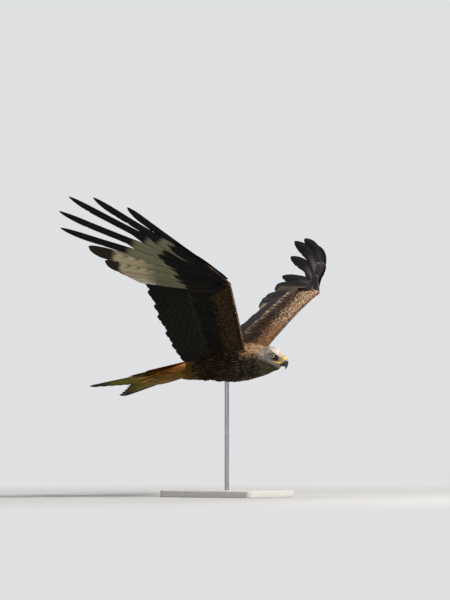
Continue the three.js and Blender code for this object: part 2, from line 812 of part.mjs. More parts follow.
function baseShape() {
  const [x, y, r] = [BASE.length / 2 - BASE.bevel, BASE.width / 2 - BASE.bevel, BASE.corner];
  const shape = new THREE.Shape();
  shape.moveTo(-x + r, -y);
  shape.lineTo(x - r, -y);
  shape.absarc(x - r, -y + r, r, -Math.PI / 2, 0);
  shape.lineTo(x, y - r);
  shape.absarc(x - r, y - r, r, 0, Math.PI / 2);
  shape.lineTo(-x + r, y);
  shape.absarc(-x + r, y - r, r, Math.PI / 2, Math.PI);
  shape.lineTo(-x, -y + r);
  shape.absarc(-x + r, -y + r, r, Math.PI, 1.5 * Math.PI);
  return new THREE.ExtrudeGeometry(shape, {
    depth: BASE.height - 2 * BASE.bevel,
    bevelThickness: BASE.bevel,
    bevelSize: BASE.bevel,
    bevelSegments: 1,
    curveSegments: 4,
  }).translate(0, 0, BASE.bevel);
}

// The bird stands banked over the middle of the base
const bird = new THREE.Group();
bird.position.set(-ROD.forward, 0, BODY_HEIGHT);
bird.quaternion.setFromAxisAngle(
  V(Math.cos(radians(BANK_AXIS)), Math.sin(radians(BANK_AXIS)), 0),
  radians(-BANK),
);
bird.updateMatrix();
const intoBody = bird.matrix.clone().invert();

const object = new THREE.Group();
function add(group, name, made, look) {
  const { vertProperties, triVerts } = largest(made).getMesh();
  const geometry = new THREE.BufferGeometry();
  geometry.setAttribute("position", new THREE.BufferAttribute(vertProperties, 3));
  geometry.setIndex(new THREE.BufferAttribute(triVerts, 1));
  geometry.computeVertexNormals();
  const mesh = new THREE.Mesh(geometry, look);
  mesh.name = name;
  group.add(mesh);
}

// Stand: the rod reaches from a hole in the base to a socket in the belly
const rodBottom = BASE.height - ROD.foot;
const rodTop = BODY_HEIGHT - BELLY_DEPTH + ROD.socket;
const rodHole = solidOf(rod(GAP, rodBottom - GAP, BASE.height + 10));
const socket = solidOf(rod(GAP, BASE.height + 40, rodTop + GAP).applyMatrix4(intoBody));
add(object, "stand_base", solidOf(baseShape()).subtract(rodHole), MATERIALS.base);
add(object, "stand_rod", solidOf(rod(0, rodBottom, rodTop)), MATERIALS.rod);

// Body: torso, neck and head are one shape parted by two thin cuts
const whole = fuse(trunk(), skull());
const hollows = fuse(footHollow(-1), footHollow(1));
const headNormal = V(Math.cos(radians(HEAD_CUT_LEAN)), 0, -Math.sin(radians(HEAD_CUT_LEAN)));
const headFront = V(HEAD_CUT, 0, -45);
const nape = headFront.clone().addScaledVector(headNormal, -GAP);
const trunkAhead = (cut) => ahead(whole, V(cut + GAP / 2, 0, 0), FORWARD);
const torso = behind(trunkAhead(TAIL_CUT), V(NECK_CUT - GAP / 2, 0, 0), FORWARD);
const neck = behind(trunkAhead(NECK_CUT), nape, headNormal);
const face = fuse(ahead(whole, headFront, headNormal), lids(-1), lids(1), browRidge(-1), browRidge(1));
const faceHollows = fuse(
  eye(-1, GAP),
  eye(1, GAP),
  upperBill(GAP),
  lowerBill(GAP),
  cere(GAP),
  mouthLine(-1),
  mouthLine(1),
);
add(bird, "torso", torso.subtract(fuse(socket, hollows)), MATERIALS.body);
add(bird, "neck", neck, MATERIALS.neck);
add(bird, "head", face.subtract(faceHollows), MATERIALS.head);
add(bird, "upper_bill", upperBill(), MATERIALS.horn);
add(bird, "lower_bill", lowerBill().subtract(upperBill(GAP)), MATERIALS.horn);
add(
  bird,
  "cere",
  cere().subtract(fuse(upperBill(GAP), lowerBill(GAP), nostril(-1), nostril(1))),
  MATERIALS.cere,
);
add(bird, "eye_right", eye(-1), MATERIALS.eye);
add(bird, "eye_left", eye(1), MATERIALS.eye);

// Wings, tail, legs and feet, each cut clear of the body that it grows from
const bodyClear = trunk(GAP);
for (const [name, pose] of Object.entries(WINGS)) {
  const { arm, hand } = wingNodes(new Wing(pose), bodyClear);
  add(bird, `wing_${name}_arm`, arm, MATERIALS.wing);
  add(bird, `wing_${name}_hand`, hand, MATERIALS.wing);
}
const tail = behind(fuse(tailCore(), ...tailPlumage()), V(TAIL_CUT - GAP / 2, 0, 0), FORWARD);
add(bird, "tail", tail.subtract(hollows), MATERIALS.tail);
const thighClear = bodyClear.subtract(hollows);
for (const [name, side] of [
  ["right", -1],
  ["left", 1],
]) {
  add(bird, `leg_${name}`, leg(side).subtract(thighClear), MATERIALS.leg);
  add(bird, `foot_${name}`, foot(side), MATERIALS.foot);
}
object.add(bird);

export default object;
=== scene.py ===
"""A red kite in level flight on a plain display stand, dressed over its solids.

The bird is modelled in millimetres in its own frame (forward, left, up from the middle of the
body) and every finished piece is placed in the part's frame, in metres.
"""

from __future__ import annotations

import logging
import math
from dataclasses import dataclass, field
from enum import Enum

import bpy
import numpy as np
from mathutils import Matrix, Vector
from mathutils.bvhtree import BVHTree


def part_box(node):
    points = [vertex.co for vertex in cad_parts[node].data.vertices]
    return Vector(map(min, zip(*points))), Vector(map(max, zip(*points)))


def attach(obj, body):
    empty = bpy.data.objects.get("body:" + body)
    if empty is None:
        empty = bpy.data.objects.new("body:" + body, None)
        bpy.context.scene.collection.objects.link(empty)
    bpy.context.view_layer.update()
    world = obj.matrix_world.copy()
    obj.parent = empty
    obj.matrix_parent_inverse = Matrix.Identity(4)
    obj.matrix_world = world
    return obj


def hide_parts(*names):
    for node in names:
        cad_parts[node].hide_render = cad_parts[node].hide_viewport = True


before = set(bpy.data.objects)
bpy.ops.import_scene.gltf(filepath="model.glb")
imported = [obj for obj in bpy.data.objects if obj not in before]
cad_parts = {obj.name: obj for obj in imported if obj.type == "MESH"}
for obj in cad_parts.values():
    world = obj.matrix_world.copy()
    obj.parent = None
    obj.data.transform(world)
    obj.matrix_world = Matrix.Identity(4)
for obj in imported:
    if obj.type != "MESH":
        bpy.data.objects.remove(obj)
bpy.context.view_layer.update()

log = logging.getLogger("kite")
MM = 0.001
Array = np.ndarray
Piece = bpy.types.Object
Material = bpy.types.Material
Table = tuple[tuple[float, ...], ...]
Colour = tuple[float, float, float]

# Sizes shared with the solids, in millimetres on the bird's own axes

SPINE = ((-236, 0, -31), (-195, 0, -25), (-150, 0, -19), (-110, 0, -13), (-60, 0, -8), (0, 0, -5),
         (60, 0, -3), (96, 0, -2), (118, 0, 1), (136, 0, 4), (149, 0, 4.5), (160, 0, 1.5),
         (172, 0, -4), (181, 0, -8.5), (187.2, 0, -11))
BILL_ROOT = (188.0, 0.0, -8.0)
HEAD_PITCH = 30.0
EYE = (-22.0, 16.5, 1.5)
EYE_RADIUS = 8.0
PRIMARY_LENGTHS = (385, 470, 500, 500, 480, 395, 348, 325, 306, 290)
FINGERS = 5
HAND_LENGTH = 88.0
CAMBER = 0.055
DROOP = 0.035
CORE_CHORD = 0.36
CORE_ROOT = 11.5
CORE_HALF = 8.5
CORE_TIP = 4.5
HAND_CHORD = (92.0, 30.0)
HAND_FRONT = 6.0
TAIL_ROOT = (-96.0, 0.0, -6.0)
TAIL_CENTRE = (-306.0, 0.0, -47.0)
TAIL_OUTER = (-398.0, 82.0, -58.0)
TAIL_TILT = 4.8
TAIL_ROOT_HALF = 13.0
TAIL_CORE: Table = ((-238, -26, -36, 26), (-228, -22, -38, 34), (-195, -12, -38, 35),
                    (-160, -3, -37, 34), (-128, 6, -36, 32), (-98, 15.5, -37, 30),
                    (-80, 21, -39, 34))
FLESH = ("torso", "neck", "head", "leg_right", "leg_left")
UNDERBELLY: Table = ((-142, -38, 27), (-120, -41.5, 30), (-100, -43, 31), (-60, -45.5, 34),
                     (-38, -46, 34), (-16, -42, 26))
SOCKET = (0.3135, 0.345)
CERE: Table = ((-8, 2.2, 12.6, 10.8), (0, 2.4, 11, 9.2), (6, 2.2, 9.2, 7.4),
               (8.6, 1.5, 8.5, 6.8))
UPPER_BILL: Table = ((1, 2.2, 8.6, 6.8), (6.3, 2, 8.5, 6.8), (10.6, 0.4, 7.6, 5.8),
                     (14.4, -3.2, 5.6, 4.4), (17, -8, 3.8, 3.1), (18.1, -12.6, 2.1, 1.8),
                     (18.4, -17, 0.5, 0.5))
LOWER_BILL: Table = ((-8, -9.5, 4.2, 8.4), (1, -10.2, 4, 6.6), (8, -10.6, 3, 4.8),
                     (12.4, -10.8, 1.4, 2.4))
MOUTH = ((2.0, -7.2), (-16.0, -12.0))


class Side(Enum):
    """A side of the bird, with the sign of its left axis."""

    RIGHT = -1
    LEFT = 1

    @property
    def label(self) -> str:
        """The side in the names of pieces and nodes."""
        return self.name.lower()


class Face(Enum):
    """The upper or the under side of a wing."""

    UPPER = 1
    UNDER = -1

    @property
    def row(self) -> str:
        """The name of the small coverts on this side and of their finish."""
        return f"lesser_{self.name.lower()}"


# Vector helpers


def mirrored(points: Array) -> Array:
    """Points with those on the right brought over to the left."""
    return points * (1, 0, 1) + np.abs(points) * (0, 1, 0)


def unit(v: Array) -> Array:
    """Vectors of length one."""
    return v / np.maximum(np.linalg.norm(v, axis=-1, keepdims=True), 1e-9)


def dot(a: Array, b: Array) -> Array:
    """Dot products, kept as a last axis of one."""
    return (a * b).sum(-1, keepdims=True)


def blend(a: float | Array, b: float | Array, t: float | Array) -> Array:
    """A value part of the way from one to another."""
    return np.asarray(a) * (1 - t) + np.asarray(b) * t


def ease(x: Array | float, low: float, high: float) -> Array:
    """A smooth step from 0 at low to 1 at high."""
    t = np.clip((np.asarray(x, float) - low) / (high - low), 0, 1)
    return t * t * (3 - 2 * t)


def bend(curve: Array, t: Array) -> Array:
    """Points on a quadratic curve of start, pull and end, its points on the second-last axis."""
    t = np.asarray(t, float)[..., None]
    return curve[..., 0, :] * (1 - t) ** 2 + curve[..., 1, :] * 2 * t * (1 - t) + curve[..., 2, :] * t**2


def through(ends: Array, steps: int) -> Array:
    """A smooth curve through all but the first and the last of its knots.

    Args:
        ends: The knots, with one more before and one after the curve.
        steps: Steps from each knot to the next.

    Returns:
        Points of the curve.
    """
    rows = []
    for i in range(1, len(ends) - 2):
        before, a, b, after = ends[i - 1], ends[i], ends[i + 1], ends[i + 2]
        for t in np.linspace(0, 1, steps + 1)[int(i > 1):]:
            rows.append(0.5 * (2 * a + (b - before) * t + (2 * before - 5 * a + 4 * b - after) * t**2
                               + (3 * a - before - 3 * b + after) * t**3))
    return np.array(rows)


def between(rows: Array, marks: Array, at: float | Array) -> Array:
    """Rows of numbers at places between their marks."""
    return np.stack([np.interp(at, marks, column) for column in np.asarray(rows, float).T], -1)


def table_at(table: Table, places: float | Array) -> Array:
    """Rows of a table at places along its first column."""
    return between(table, np.array(table, float)[:, 0], places)


def even_rows(table: Table, count: int) -> Array:
    """Rows of a table at even steps from its first row to its last."""
    return table_at(table, np.linspace(table[0][0], table[-1][0], count))


def circle(count: int) -> tuple[Array, Array]:
    """Cosines and sines at even steps round a circle."""
    angles = np.linspace(0, 2 * math.pi, count, endpoint=False)
    return np.cos(angles), np.sin(angles)


def turn_about(axis: tuple[float, float, float], degrees: float) -> Array:
    """A rotation matrix about an axis through the origin."""
    return np.array(Matrix.Rotation(math.radians(degrees), 3, Vector(axis)))


@dataclass(frozen=True)
class Stance:
    """How the bird stands over its base, banked about an axis at an angle to its length."""

    height: float = 365.0
    forward: float = 6.0
    bank: float = 6.5
    axis: float = 34.0

    def turn(self) -> Array:
        """The rotation from the bird's frame to the part's."""
        heading = math.radians(self.axis)
        return turn_about((math.cos(heading), math.sin(heading), 0), -self.bank)

    def place(self, points: Array) -> Array:
        """Points of the bird's frame in metres in the part's frame."""
        return (points @ self.turn().T + (-self.forward, 0, self.height)) * MM

    def read(self, points: Array) -> Array:
        """Points in metres in the part's frame, back in the bird's."""
        return (points / MM - (-self.forward, 0, self.height)) @ self.turn()


STANCE = Stance()
HEAD_TURN = turn_about((0, 1, 0), HEAD_PITCH)


def from_head(points: Array) -> Array:
    """Points of the head's frame in the bird's."""
    return np.asarray(points, float) @ HEAD_TURN.T + BILL_ROOT


def to_head(points: Array) -> Array:
    """Points of the bird's frame in the head's."""
    return (np.asarray(points, float) - BILL_ROOT) @ HEAD_TURN


# Shader maths


class Shade:
    """A socket of a node tree with arithmetic that adds Math nodes."""

    def __init__(self, tree: Graph, socket: bpy.types.NodeSocket) -> None:
        """Wraps a socket of a tree."""
        self.tree = tree
        self.socket = socket

    def _math(self, operation: str, *values: object) -> Shade:
        """A Math node over values or sockets."""
        return self.tree.node("ShaderNodeMath", {"operation": operation}, dict(enumerate(values)))

    def __add__(self, other: object) -> Shade:
        """The sum."""
        return self._math("ADD", self, other)

    __radd__ = __add__

    def __sub__(self, other: object) -> Shade:
        """The difference."""
        return self._math("SUBTRACT", self, other)

    def __rsub__(self, other: object) -> Shade:
        """The difference from a number."""
        return self._math("SUBTRACT", other, self)

    def __mul__(self, other: object) -> Shade:
        """The product."""
        return self._math("MULTIPLY", self, other)

    __rmul__ = __mul__

    def __truediv__(self, other: object) -> Shade:
        """The quotient."""
        return self._math("DIVIDE", self, other)

    def __pow__(self, other: float) -> Shade:
        """The power."""
        return self._math("POWER", self, other)

    def __abs__(self) -> Shade:
        """The size without its sign."""
        return self._math("ABSOLUTE", self)

    def most(self, other: object) -> Shade:
        """The larger of two."""
        return self._math("MAXIMUM", self, other)

    def wave(self) -> Shade:
        """A sine wave from 0 to 1."""
        return self._math("SINE", self) * 0.5 + 0.5

    def step(self, low: float, high: float) -> Shade:
        """A smooth step.

        Args:
            low: Where it is 0.
            high: Where it is 1, which may be the lower of the two.

        Returns:
            The step.
        """
        flip = low > high
        span = {1: min(low, high), 2: max(low, high), 3: float(flip), 4: float(not flip)}
        return self.tree.node(
            "ShaderNodeMapRange", {"interpolation_type": "SMOOTHSTEP"}, {0: self, **span}
        )


class Graph:
    """The node tree of one material."""

    def __init__(self, name: str) -> None:
        """Starts an empty material with a shader and its output."""
        self.material = bpy.data.materials.new(name)
        self.material.use_nodes = True
        self.tree = self.material.node_tree
        self.tree.nodes.clear()
        self.shader = self.tree.nodes.new("ShaderNodeBsdfPrincipled")
        output = self.tree.nodes.new("ShaderNodeOutputMaterial")
        self.tree.links.new(self.shader.outputs[0], output.inputs[0])

    def node(
        self,
        kind: str,
        settings: dict[str, object] | None = None,
        inputs: dict[int | str, object] | None = None,
        out: int | str = 0,
    ) -> Shade:
        """Adds a node.

        Args:
            kind: The node's type.
            settings: Its properties, set before its sockets.
            inputs: Values or wrapped sockets for its inputs.
            out: The output that is wanted.

        Returns:
            The wrapped output.
        """
        made = self.tree.nodes.new(kind)
        for key, value in (settings or {}).items():
            setattr(made, key, value)
        for key, value in (inputs or {}).items():
            if isinstance(value, Shade):
                self.tree.links.new(value.socket, made.inputs[key])
            else:
                made.inputs[key].default_value = value
        return Shade(self, made.outputs[out])

    def attribute(self, name: str, out: str = "Fac") -> Shade:
        """An attribute of the mesh."""
        return self.node("ShaderNodeAttribute", {"attribute_name": name}, out=out)

    def place(self) -> Shade:
        """Where a point or a feather's root is: on the bird's axes, or the head's on bare parts."""
        return self.attribute("place", "Vector")

    def split(self, vector: Shade) -> tuple[Shade, Shade, Shade]:
        """The three parts of a vector."""
        made = self.node("ShaderNodeSeparateXYZ", {}, {0: vector})
        return tuple(Shade(self, made.socket.node.outputs[k]) for k in range(3))

    def join(self, x: object, y: object, z: object) -> Shade:
        """A vector of three parts."""
        return self.node("ShaderNodeCombineXYZ", {}, {0: x, 1: y, 2: z})

    def noise(self, vector: Shade, scale: float, detail: float = 2.0, out: str = "Fac") -> Shade:
        """Soft noise over a vector."""
        inputs = {"Vector": vector, "Scale": scale, "Detail": detail}
        return self.node("ShaderNodeTexNoise", {}, inputs, out)

    def mix(self, factor: object, a: object, b: object) -> Shade:
        """A colour part of the way from a to b."""
        tint = [(*c, 1) if isinstance(c, tuple) else c for c in (a, b)]
        settings = {"data_type": "RGBA", "clamp_factor": True}
        return self.node("ShaderNodeMix", settings, {0: factor, 6: tint[0], 7: tint[1]}, 2)

    def layers(self, base: object, *layers: tuple[object, object]) -> Shade:
        """A base colour under layers, each with its cover from 0 to 1 and its colour."""
        for cover, colour in layers:
            base = self.mix(cover, base, colour)
        return base

    def brighten(self, colour: object, factor: Shade) -> Shade:
        """A colour times a number."""
        tint = (*colour, 1) if isinstance(colour, tuple) else colour
        settings = {"data_type": "RGBA", "blend_type": "MULTIPLY"}
        grey = self.join(factor, factor, factor)
        return self.node("ShaderNodeMix", settings, {0: 1.0, 6: tint, 7: grey}, 2)

    def bump(self, height: Shade, distance: float, strength: float = 1.0) -> None:
        """Feeds a height to the shader's normal, its full depth in metres."""
        inputs = {"Height": height, "Distance": distance, "Strength": strength}
        self.set(Normal=self.node("ShaderNodeBump", {}, inputs))

    def set(self, **sockets: object) -> None:
        """Sets the shader's sockets, their names with underscores for spaces."""
        for key, value in sockets.items():
            socket = self.shader.inputs[key.replace("_", " ")]
            if isinstance(value, Shade):
                self.tree.links.new(value.socket, socket)
            else:
                socket.default_value = (*value, 1) if isinstance(value, tuple) else value


# Colours of the plumage, in linear light

WHITE = (0.62, 0.53, 0.465)
PALE_GREY = (0.33, 0.285, 0.255)
CHEEK_GREY = (0.40, 0.365, 0.33)
# The throat is painted shade: a dark olive with painted green bounce light, where the real throat is
# whitish grey
THROAT_IN_PAINTED_SHADE = (0.064, 0.057, 0.029)
LORES = (0.030, 0.022, 0.010)
HINDNECK = (0.40, 0.235, 0.12)
# Breast and belly: rufous brown darkened by painted shade, deepest under the belly
BREAST_IN_PAINTED_SHADE = (0.020, 0.014, 0.008)
BELLY_IN_PAINTED_SHADE = (0.013, 0.0072, 0.0034)
VENT = (0.120, 0.068, 0.008)
MANTLE = (0.040, 0.022, 0.013)
STREAK = (0.0065, 0.0045, 0.003)
CREAM = (0.50, 0.38, 0.26)
BUFF = (0.62, 0.46, 0.31)
MID_BROWN = (0.13, 0.058, 0.024)
BLACK = (0.0034, 0.0030, 0.0036)
# Dark brown, its purple cast a painted sheen
BROWN_WITH_PAINTED_PURPLE_SHEEN = (0.028, 0.018, 0.022)
SLATE = (0.0045, 0.0043, 0.0028)
WINDOW = (0.140, 0.138, 0.078)
WINDOW_CREAM = (0.36, 0.30, 0.18)
TAIL_RUFOUS = (0.44, 0.16, 0.035)
# The tail's underside: olive from painted green light bounced up from the ground
TAIL_UNDER_PAINTED_BOUNCE = (0.125, 0.098, 0.003)


@dataclass(frozen=True)
class Markings:
    """The ground colour of the body at a place, shared by the skin and the feathers on it."""

    def ground(self, graph: Graph) -> tuple[Shade, Shade]:
        """Builds the colour.

        Args:
            graph: The tree to build in.

        Returns:
            The colour, and how strongly its feathers are streaked.
        """
        place = graph.place()
        x, _, z = graph.split(place)
        wobble = (graph.noise(place, 0.05, 3.0) - 0.5) * 22
        pitch = math.radians(HEAD_PITCH)
        dx, dz = x - BILL_ROOT[0], z - BILL_ROOT[2]
        ahead = dx * math.cos(pitch) - dz * math.sin(pitch)
        above = dx * math.sin(pitch) + dz * math.cos(pitch)
        rump = (x + wobble).step(-84, -104)
        over_tail = z + wobble * 0.3 - (x - TAIL_ROOT[0]) * 0.195
        nape = (x + wobble * 0.7 - z * 0.35).step(70, 104)
        brow = (above - 0.12 * ahead + wobble * 0.12).step(5.5, 11) * (ahead + wobble).step(-52, -26)
        lores = ((ahead + 15.5) / 12.5) ** 2 + ((above + 1.0 + ahead * 0.12) / 8.2) ** 2
        on_head = (ahead + wobble + above * 0.35).step(-76, -38)
        face = graph.layers(
            CHEEK_GREY,
            # The throat: painted shade with an olive cast of painted bounce light
            ((above + wobble * 0.2).step(-14, -25), THROAT_IN_PAINTED_SHADE),
            ((above + wobble * 0.25).step(-13, 2), PALE_GREY),
            (brow, WHITE),
            (lores.step(1.45, 0.75), LORES),
        )
        colour = graph.layers(
            VENT,
            # The belly, then the breast: darkened by painted shade under the body
            ((x + wobble).step(-108, -45), BELLY_IN_PAINTED_SHADE),
            ((x + wobble).step(20, 95), BREAST_IN_PAINTED_SHADE),
            ((z + wobble * 0.5).step(8, 26), MANTLE),
            (rump * over_tail.step(-14, -5), TAIL_RUFOUS),
            (nape * (z + wobble * 0.4).step(0, 20), HINDNECK),
            (on_head, face),
        )
        streaked = on_head * (1 - brow * 0.55) * 0.5 + (1 - on_head) * (x.step(0, 70) * 0.85 + 0.15)
        return colour, streaked


@dataclass(frozen=True)
class SkinFinish:
    """Feather down over the skin, in the colours of the feathers that grow there."""

    name: str = "skin_down"

    def dress(self) -> Material:
        """Makes the material."""
        graph = Graph(self.name)
        colour, _ = Markings().ground(graph)
        fluff = graph.noise(graph.place(), 0.6, 4.0)
        graph.set(Base_Color=graph.brighten(colour, fluff * 0.6 + 0.35), Roughness=0.9)
        graph.bump(fluff, 0.0008)
        return graph.material


@dataclass(frozen=True)
class FeatherFinish:
    """What every feather's finish shares: its own map, its lot and the grain of its barbs."""

    name: str
    roughness: float = 0.65
    gloss: float = 0.06
    barbs: float = 26.0
    depth: float = 0.0004

    def start(self) -> tuple[Graph, Shade, Shade, Shade, Shade, Shade]:
        """Starts a tree.

        Returns:
            The tree, the place across from the trailing edge to the leading one, its distance
            from the shaft, the place along from root to tip, the feather's lot, and the uneven
            tone of the fine barbs that leave the shaft towards the tip.
        """
        graph = Graph(self.name)
        across, along, _ = graph.split(graph.node("ShaderNodeUVMap", {"uv_map": "Vane"}))
        aside, lot = abs(across - 0.5), graph.attribute("lot")
        flow = graph.join((along - aside * 0.3) * self.barbs, aside * 2.5, lot * 40)
        return graph, across, aside, along, lot, graph.noise(flow, 1.0, 3.0)

    def finish(self, graph: Graph, colour: Shade, grain: Shade, aside: Shade) -> Material:
        """Feeds the shader, with the barbs and a raised shaft in the bump.

        Args:
            graph: The tree.
            colour: The feather's colour.
            grain: The tone of its barbs.
            aside: The distance from its shaft.

        Returns:
            The finished material.
        """
        shaft = aside.step(0.035, 0.012)
        graph.set(
            Base_Color=graph.brighten(colour, grain * 0.5 + 0.75),
            Roughness=(1 - shaft * 0.3) * self.roughness,
            Specular_IOR_Level=self.gloss,
        )
        graph.bump(grain + shaft * 0.8, self.depth)
        return graph.material


@dataclass(frozen=True)
class BodyFeathers(FeatherFinish):
    """Contour feathers: the body's markings with a dark streak down each feather."""

    name: str = "body_feathers"
    roughness: float = 0.75
    depth: float = 0.00035
    breast_fringe: Colour = (0.25, 0.19, 0.11)
    belly_fringe: Colour = (0.125, 0.060, 0.022)

    def dress(self) -> Material:
        """Makes the material."""
        graph, _, aside, along, lot, grain = self.start()
        ground, streaked = Markings().ground(graph)
        place = graph.place()
        patches = graph.noise(place, 0.09, 2.0).step(0.3, 0.65)
        fringe = (aside + along * 0.06 + (grain - 0.5) * 0.16).step(0.30, 0.46) * (patches * 0.7 + 0.3)
        forward, _, height = graph.split(place)
        pale = graph.mix(height.step(-12, 10), self.breast_fringe, CREAM)
        pale = graph.mix(0.25, graph.mix(forward.step(35, 100), self.belly_fringe, pale), ground)
        streak = (aside - 0.2 + along * 0.08).step(0.03, -0.05) * along.step(1.0, 0.72)
        colour = graph.layers(
            graph.brighten(ground, lot * 0.75 + 0.62),
            (fringe * lot.step(0.15, 0.95), pale),
            (streak * streaked * 0.9, STREAK),
        )
        return self.finish(graph, colour, grain, aside)


@dataclass(frozen=True)
class CovertFinish(FeatherFinish):
    """Coverts of one tract: a dark heart and a paler fringe, fainter on some feathers than on others."""

    heart: Colour = MID_BROWN
    fringe: Colour = BUFF
    tip: Colour = BUFF
    heart_half: float = 0.22
    fringed: float = 0.8
    rough_edge: float = 0.12
    roughness: float = 0.68
    barbs: float = 30.0

    def dress(self) -> Material:
        """Makes the material."""
        graph, _, aside, along, lot, grain = self.start()
        wobble = (grain - 0.5) * self.rough_edge
        shape = aside + wobble - (1 - along) * 0.12
        edge = (shape + along.step(0.72, 0.98) * 0.3).step(self.heart_half, self.heart_half + 0.16)
        colour = graph.layers(
            graph.brighten(self.heart, lot * 0.7 + 0.65),
            (edge * self.fringed * (lot * 0.5 + 0.5), self.fringe),
            ((along + wobble).step(0.9, 1.0) * self.fringed, self.tip),
        )
        return self.finish(graph, colour, grain, aside)


@dataclass(frozen=True)
class SmallCoverts(FeatherFinish):
    """Marginal to median coverts: `band` runs from the front edge back and `station` outwards."""

    face: Face = Face.UPPER
    roughness: float = 0.7
    front: Colour = (0.105, 0.046, 0.018)
    rear: Colour = (0.026, 0.012, 0.006)
    deep: Colour = (0.018, 0.0085, 0.0045)
    rusty: Colour = (0.30, 0.155, 0.062)
    inner: Colour = (0.30, 0.155, 0.075)
    low_front: Colour = (0.009, 0.0055, 0.0025)
    low_rusty: Colour = (0.066, 0.036, 0.011)
    low_dull: Colour = (0.008, 0.006, 0.004)
    low_hand: Colour = (0.014, 0.010, 0.006)

    def dress(self) -> Material:
        """Makes the material."""
        graph, _, aside, along, lot, grain = self.start()
        band, station = graph.attribute("band"), graph.attribute("station")
        patch = graph.noise(graph.place(), 0.035, 2.0)
        wobble = (grain - 0.5) * 0.08
        hand = (station + (patch - 0.5) * 0.2).step(0.98, 1.1)
        at = band + (patch - 0.5) * 0.5
        if self.face is Face.UPPER:
            half, last, front = 0.16, band.step(0.66, 0.8), at.step(0.2, 0.42)
            outer = (station + (patch - 0.5) * 0.6).step(0.1, 0.62) * 0.6 + 0.4
            dark = at.step(0.14, 0.32) * (1 - last) * (station + (patch - 0.5) * 0.5).step(0.85, 0.45)
            heart = graph.layers(self.front, (at.step(0.2, 0.5), self.rear), (dark * 0.85, self.deep),
                                 # On the hand the hearts are dark brown with a painted purple sheen
                                 (hand, BROWN_WITH_PAINTED_PURPLE_SHEEN))
            fringe = graph.layers(BUFF, (at.step(0.25, 0.6), self.rusty), (last, CREAM))
            fringe = graph.mix(outer, self.inner, fringe)
            share = (1 - front * (1 - last) * 0.75) * outer * (1 - dark * 0.6) * (1 - hand * 0.85)
        else:
            half, share = 0.13, 1 - hand * 0.25
            heart = graph.layers(self.low_front, (at.step(0.3, 0.6), BLACK), (hand, BLACK))
            fringe = graph.layers(self.low_rusty, (at.step(0.25, 0.62), self.low_dull),
                                  (hand, self.low_hand))
        colour = graph.brighten(heart, lot * 0.8 + 0.6)
        edge = aside + wobble + along.step(0.62, 1.0) * 0.34 - (1 - along) * 0.1
        colour = graph.mix(edge.step(half, half + 0.17) * share * (lot * 0.55 + 0.45), colour, fringe)
        return self.finish(graph, colour, grain, aside)


@dataclass(frozen=True)
class QuillFinish(FeatherFinish):
    """Flight feathers of the wing, by their number on the hand or the arm and by their side.

    The `rank` of a primary is its number from 0 outermost to 9, and of a secondary 10 and more.
    """

    name: str = "wing_quills"
    roughness: float = 0.5
    gloss: float = 0.08
    barbs: float = 90.0
    # The colour of the painted sheen on the upper side of the primaries
    sheen: Colour = (0.30, 0.24, 0.30)
    low_bar: Colour = (0.021, 0.020, 0.012)
    low_brown: Colour = (0.018, 0.013, 0.0075)

    def dress(self) -> Material:
        """Makes the material."""
        graph, across, aside, along, lot, grain = self.start()
        rank, under = graph.attribute("rank"), graph.attribute("under")
        wobble = (grain - 0.5) * 0.1
        primary = rank.step(9.6, 9.4)
        inner = rank.step(4.6, 5.6) * primary
        bars = (along * 70 - aside * 13 + lot * 6 + grain).wave().step(0.5, 0.95)

        # Upper side: dark, the inner webs of the inner primaries cream, and a painted lilac sheen down
        # the bases of the primaries
        # Painted highlight: a lilac sheen along the middle of each primary's base, laid into the colour
        painted_sheen_mask = primary * along.step(0.72, 0.38) * abs(across - 0.3).step(0.2, 0.06) * (grain * 0.8 + 0.2)
        cream = inner * (across + wobble).step(0.52, 0.36) * along.step(0.2, 0.45) * along.step(0.98, 0.9)
        top = graph.layers(
            # The base: dark brown with a painted purple sheen, darker on the primaries
            graph.brighten(BROWN_WITH_PAINTED_PURPLE_SHEEN, (lot * 0.5 + 0.7) * (1 - primary * 0.45)),
            (bars * 0.35, BLACK),
            (along.step(0.3, 0.6) * (1 - inner) * primary, BLACK),
            (painted_sheen_mask, self.sheen),
            (cream * (1 - bars * 0.55), WINDOW_CREAM),
            ((along + wobble * 0.3).step(0.975, 0.995) * (1 - primary) * 0.7, CREAM),
        )

        # Under side: a pale window over the bases of the primaries, barred slate secondaries
        soft = bars * (grain * 0.7 + 0.05) * (1 - (rank - 10).step(6, 15) * 0.6)
        window = primary * (graph.attribute("reach") + wobble * 0.3 - along).step(-0.025, 0.025)
        outer_part = (along - (rank - 5) * 0.06 + wobble).step(0.46, 0.62)
        trailing = (across + wobble).step(0.62, 0.5) * rank.step(6.5, 8.6) * along.step(0.68, 0.8)
        streaks = graph.noise(graph.join(across * 8, along * 2.5, lot * 40), 1.0, 3.0)
        pale = graph.layers(
            WINDOW,
            (outer_part * rank.step(4.4, 4.6), WINDOW_CREAM),
            (trailing * 0.8, WHITE),
        )
        # The window is streaked along its barbs and darkened towards each vane's edge, the dark edge a
        # painted shade between overlapping feathers
        pale = graph.brighten(pale, (streaks * 0.9 + 0.57) * (1 - aside.step(0.38, 0.5) * 0.35))
        barred = rank.step(3.6, 5.4) * bars * (across + wobble).step(0.2, 0.5)
        low = graph.layers(
            graph.brighten(SLATE, lot * 0.6 + 0.5),
            (soft, self.low_bar),
            (primary, graph.mix(rank.step(4.4, 4.8), BLACK, self.low_brown)),
            (window, graph.mix(barred * 0.75, pale, STREAK)),
        )
        shaft = graph.mix(window * under, BLACK, PALE_GREY)
        colour = graph.layers(top, (under, low), (aside.step(0.045, 0.02) * 0.3, shaft))
        return self.finish(graph, colour, grain, aside)


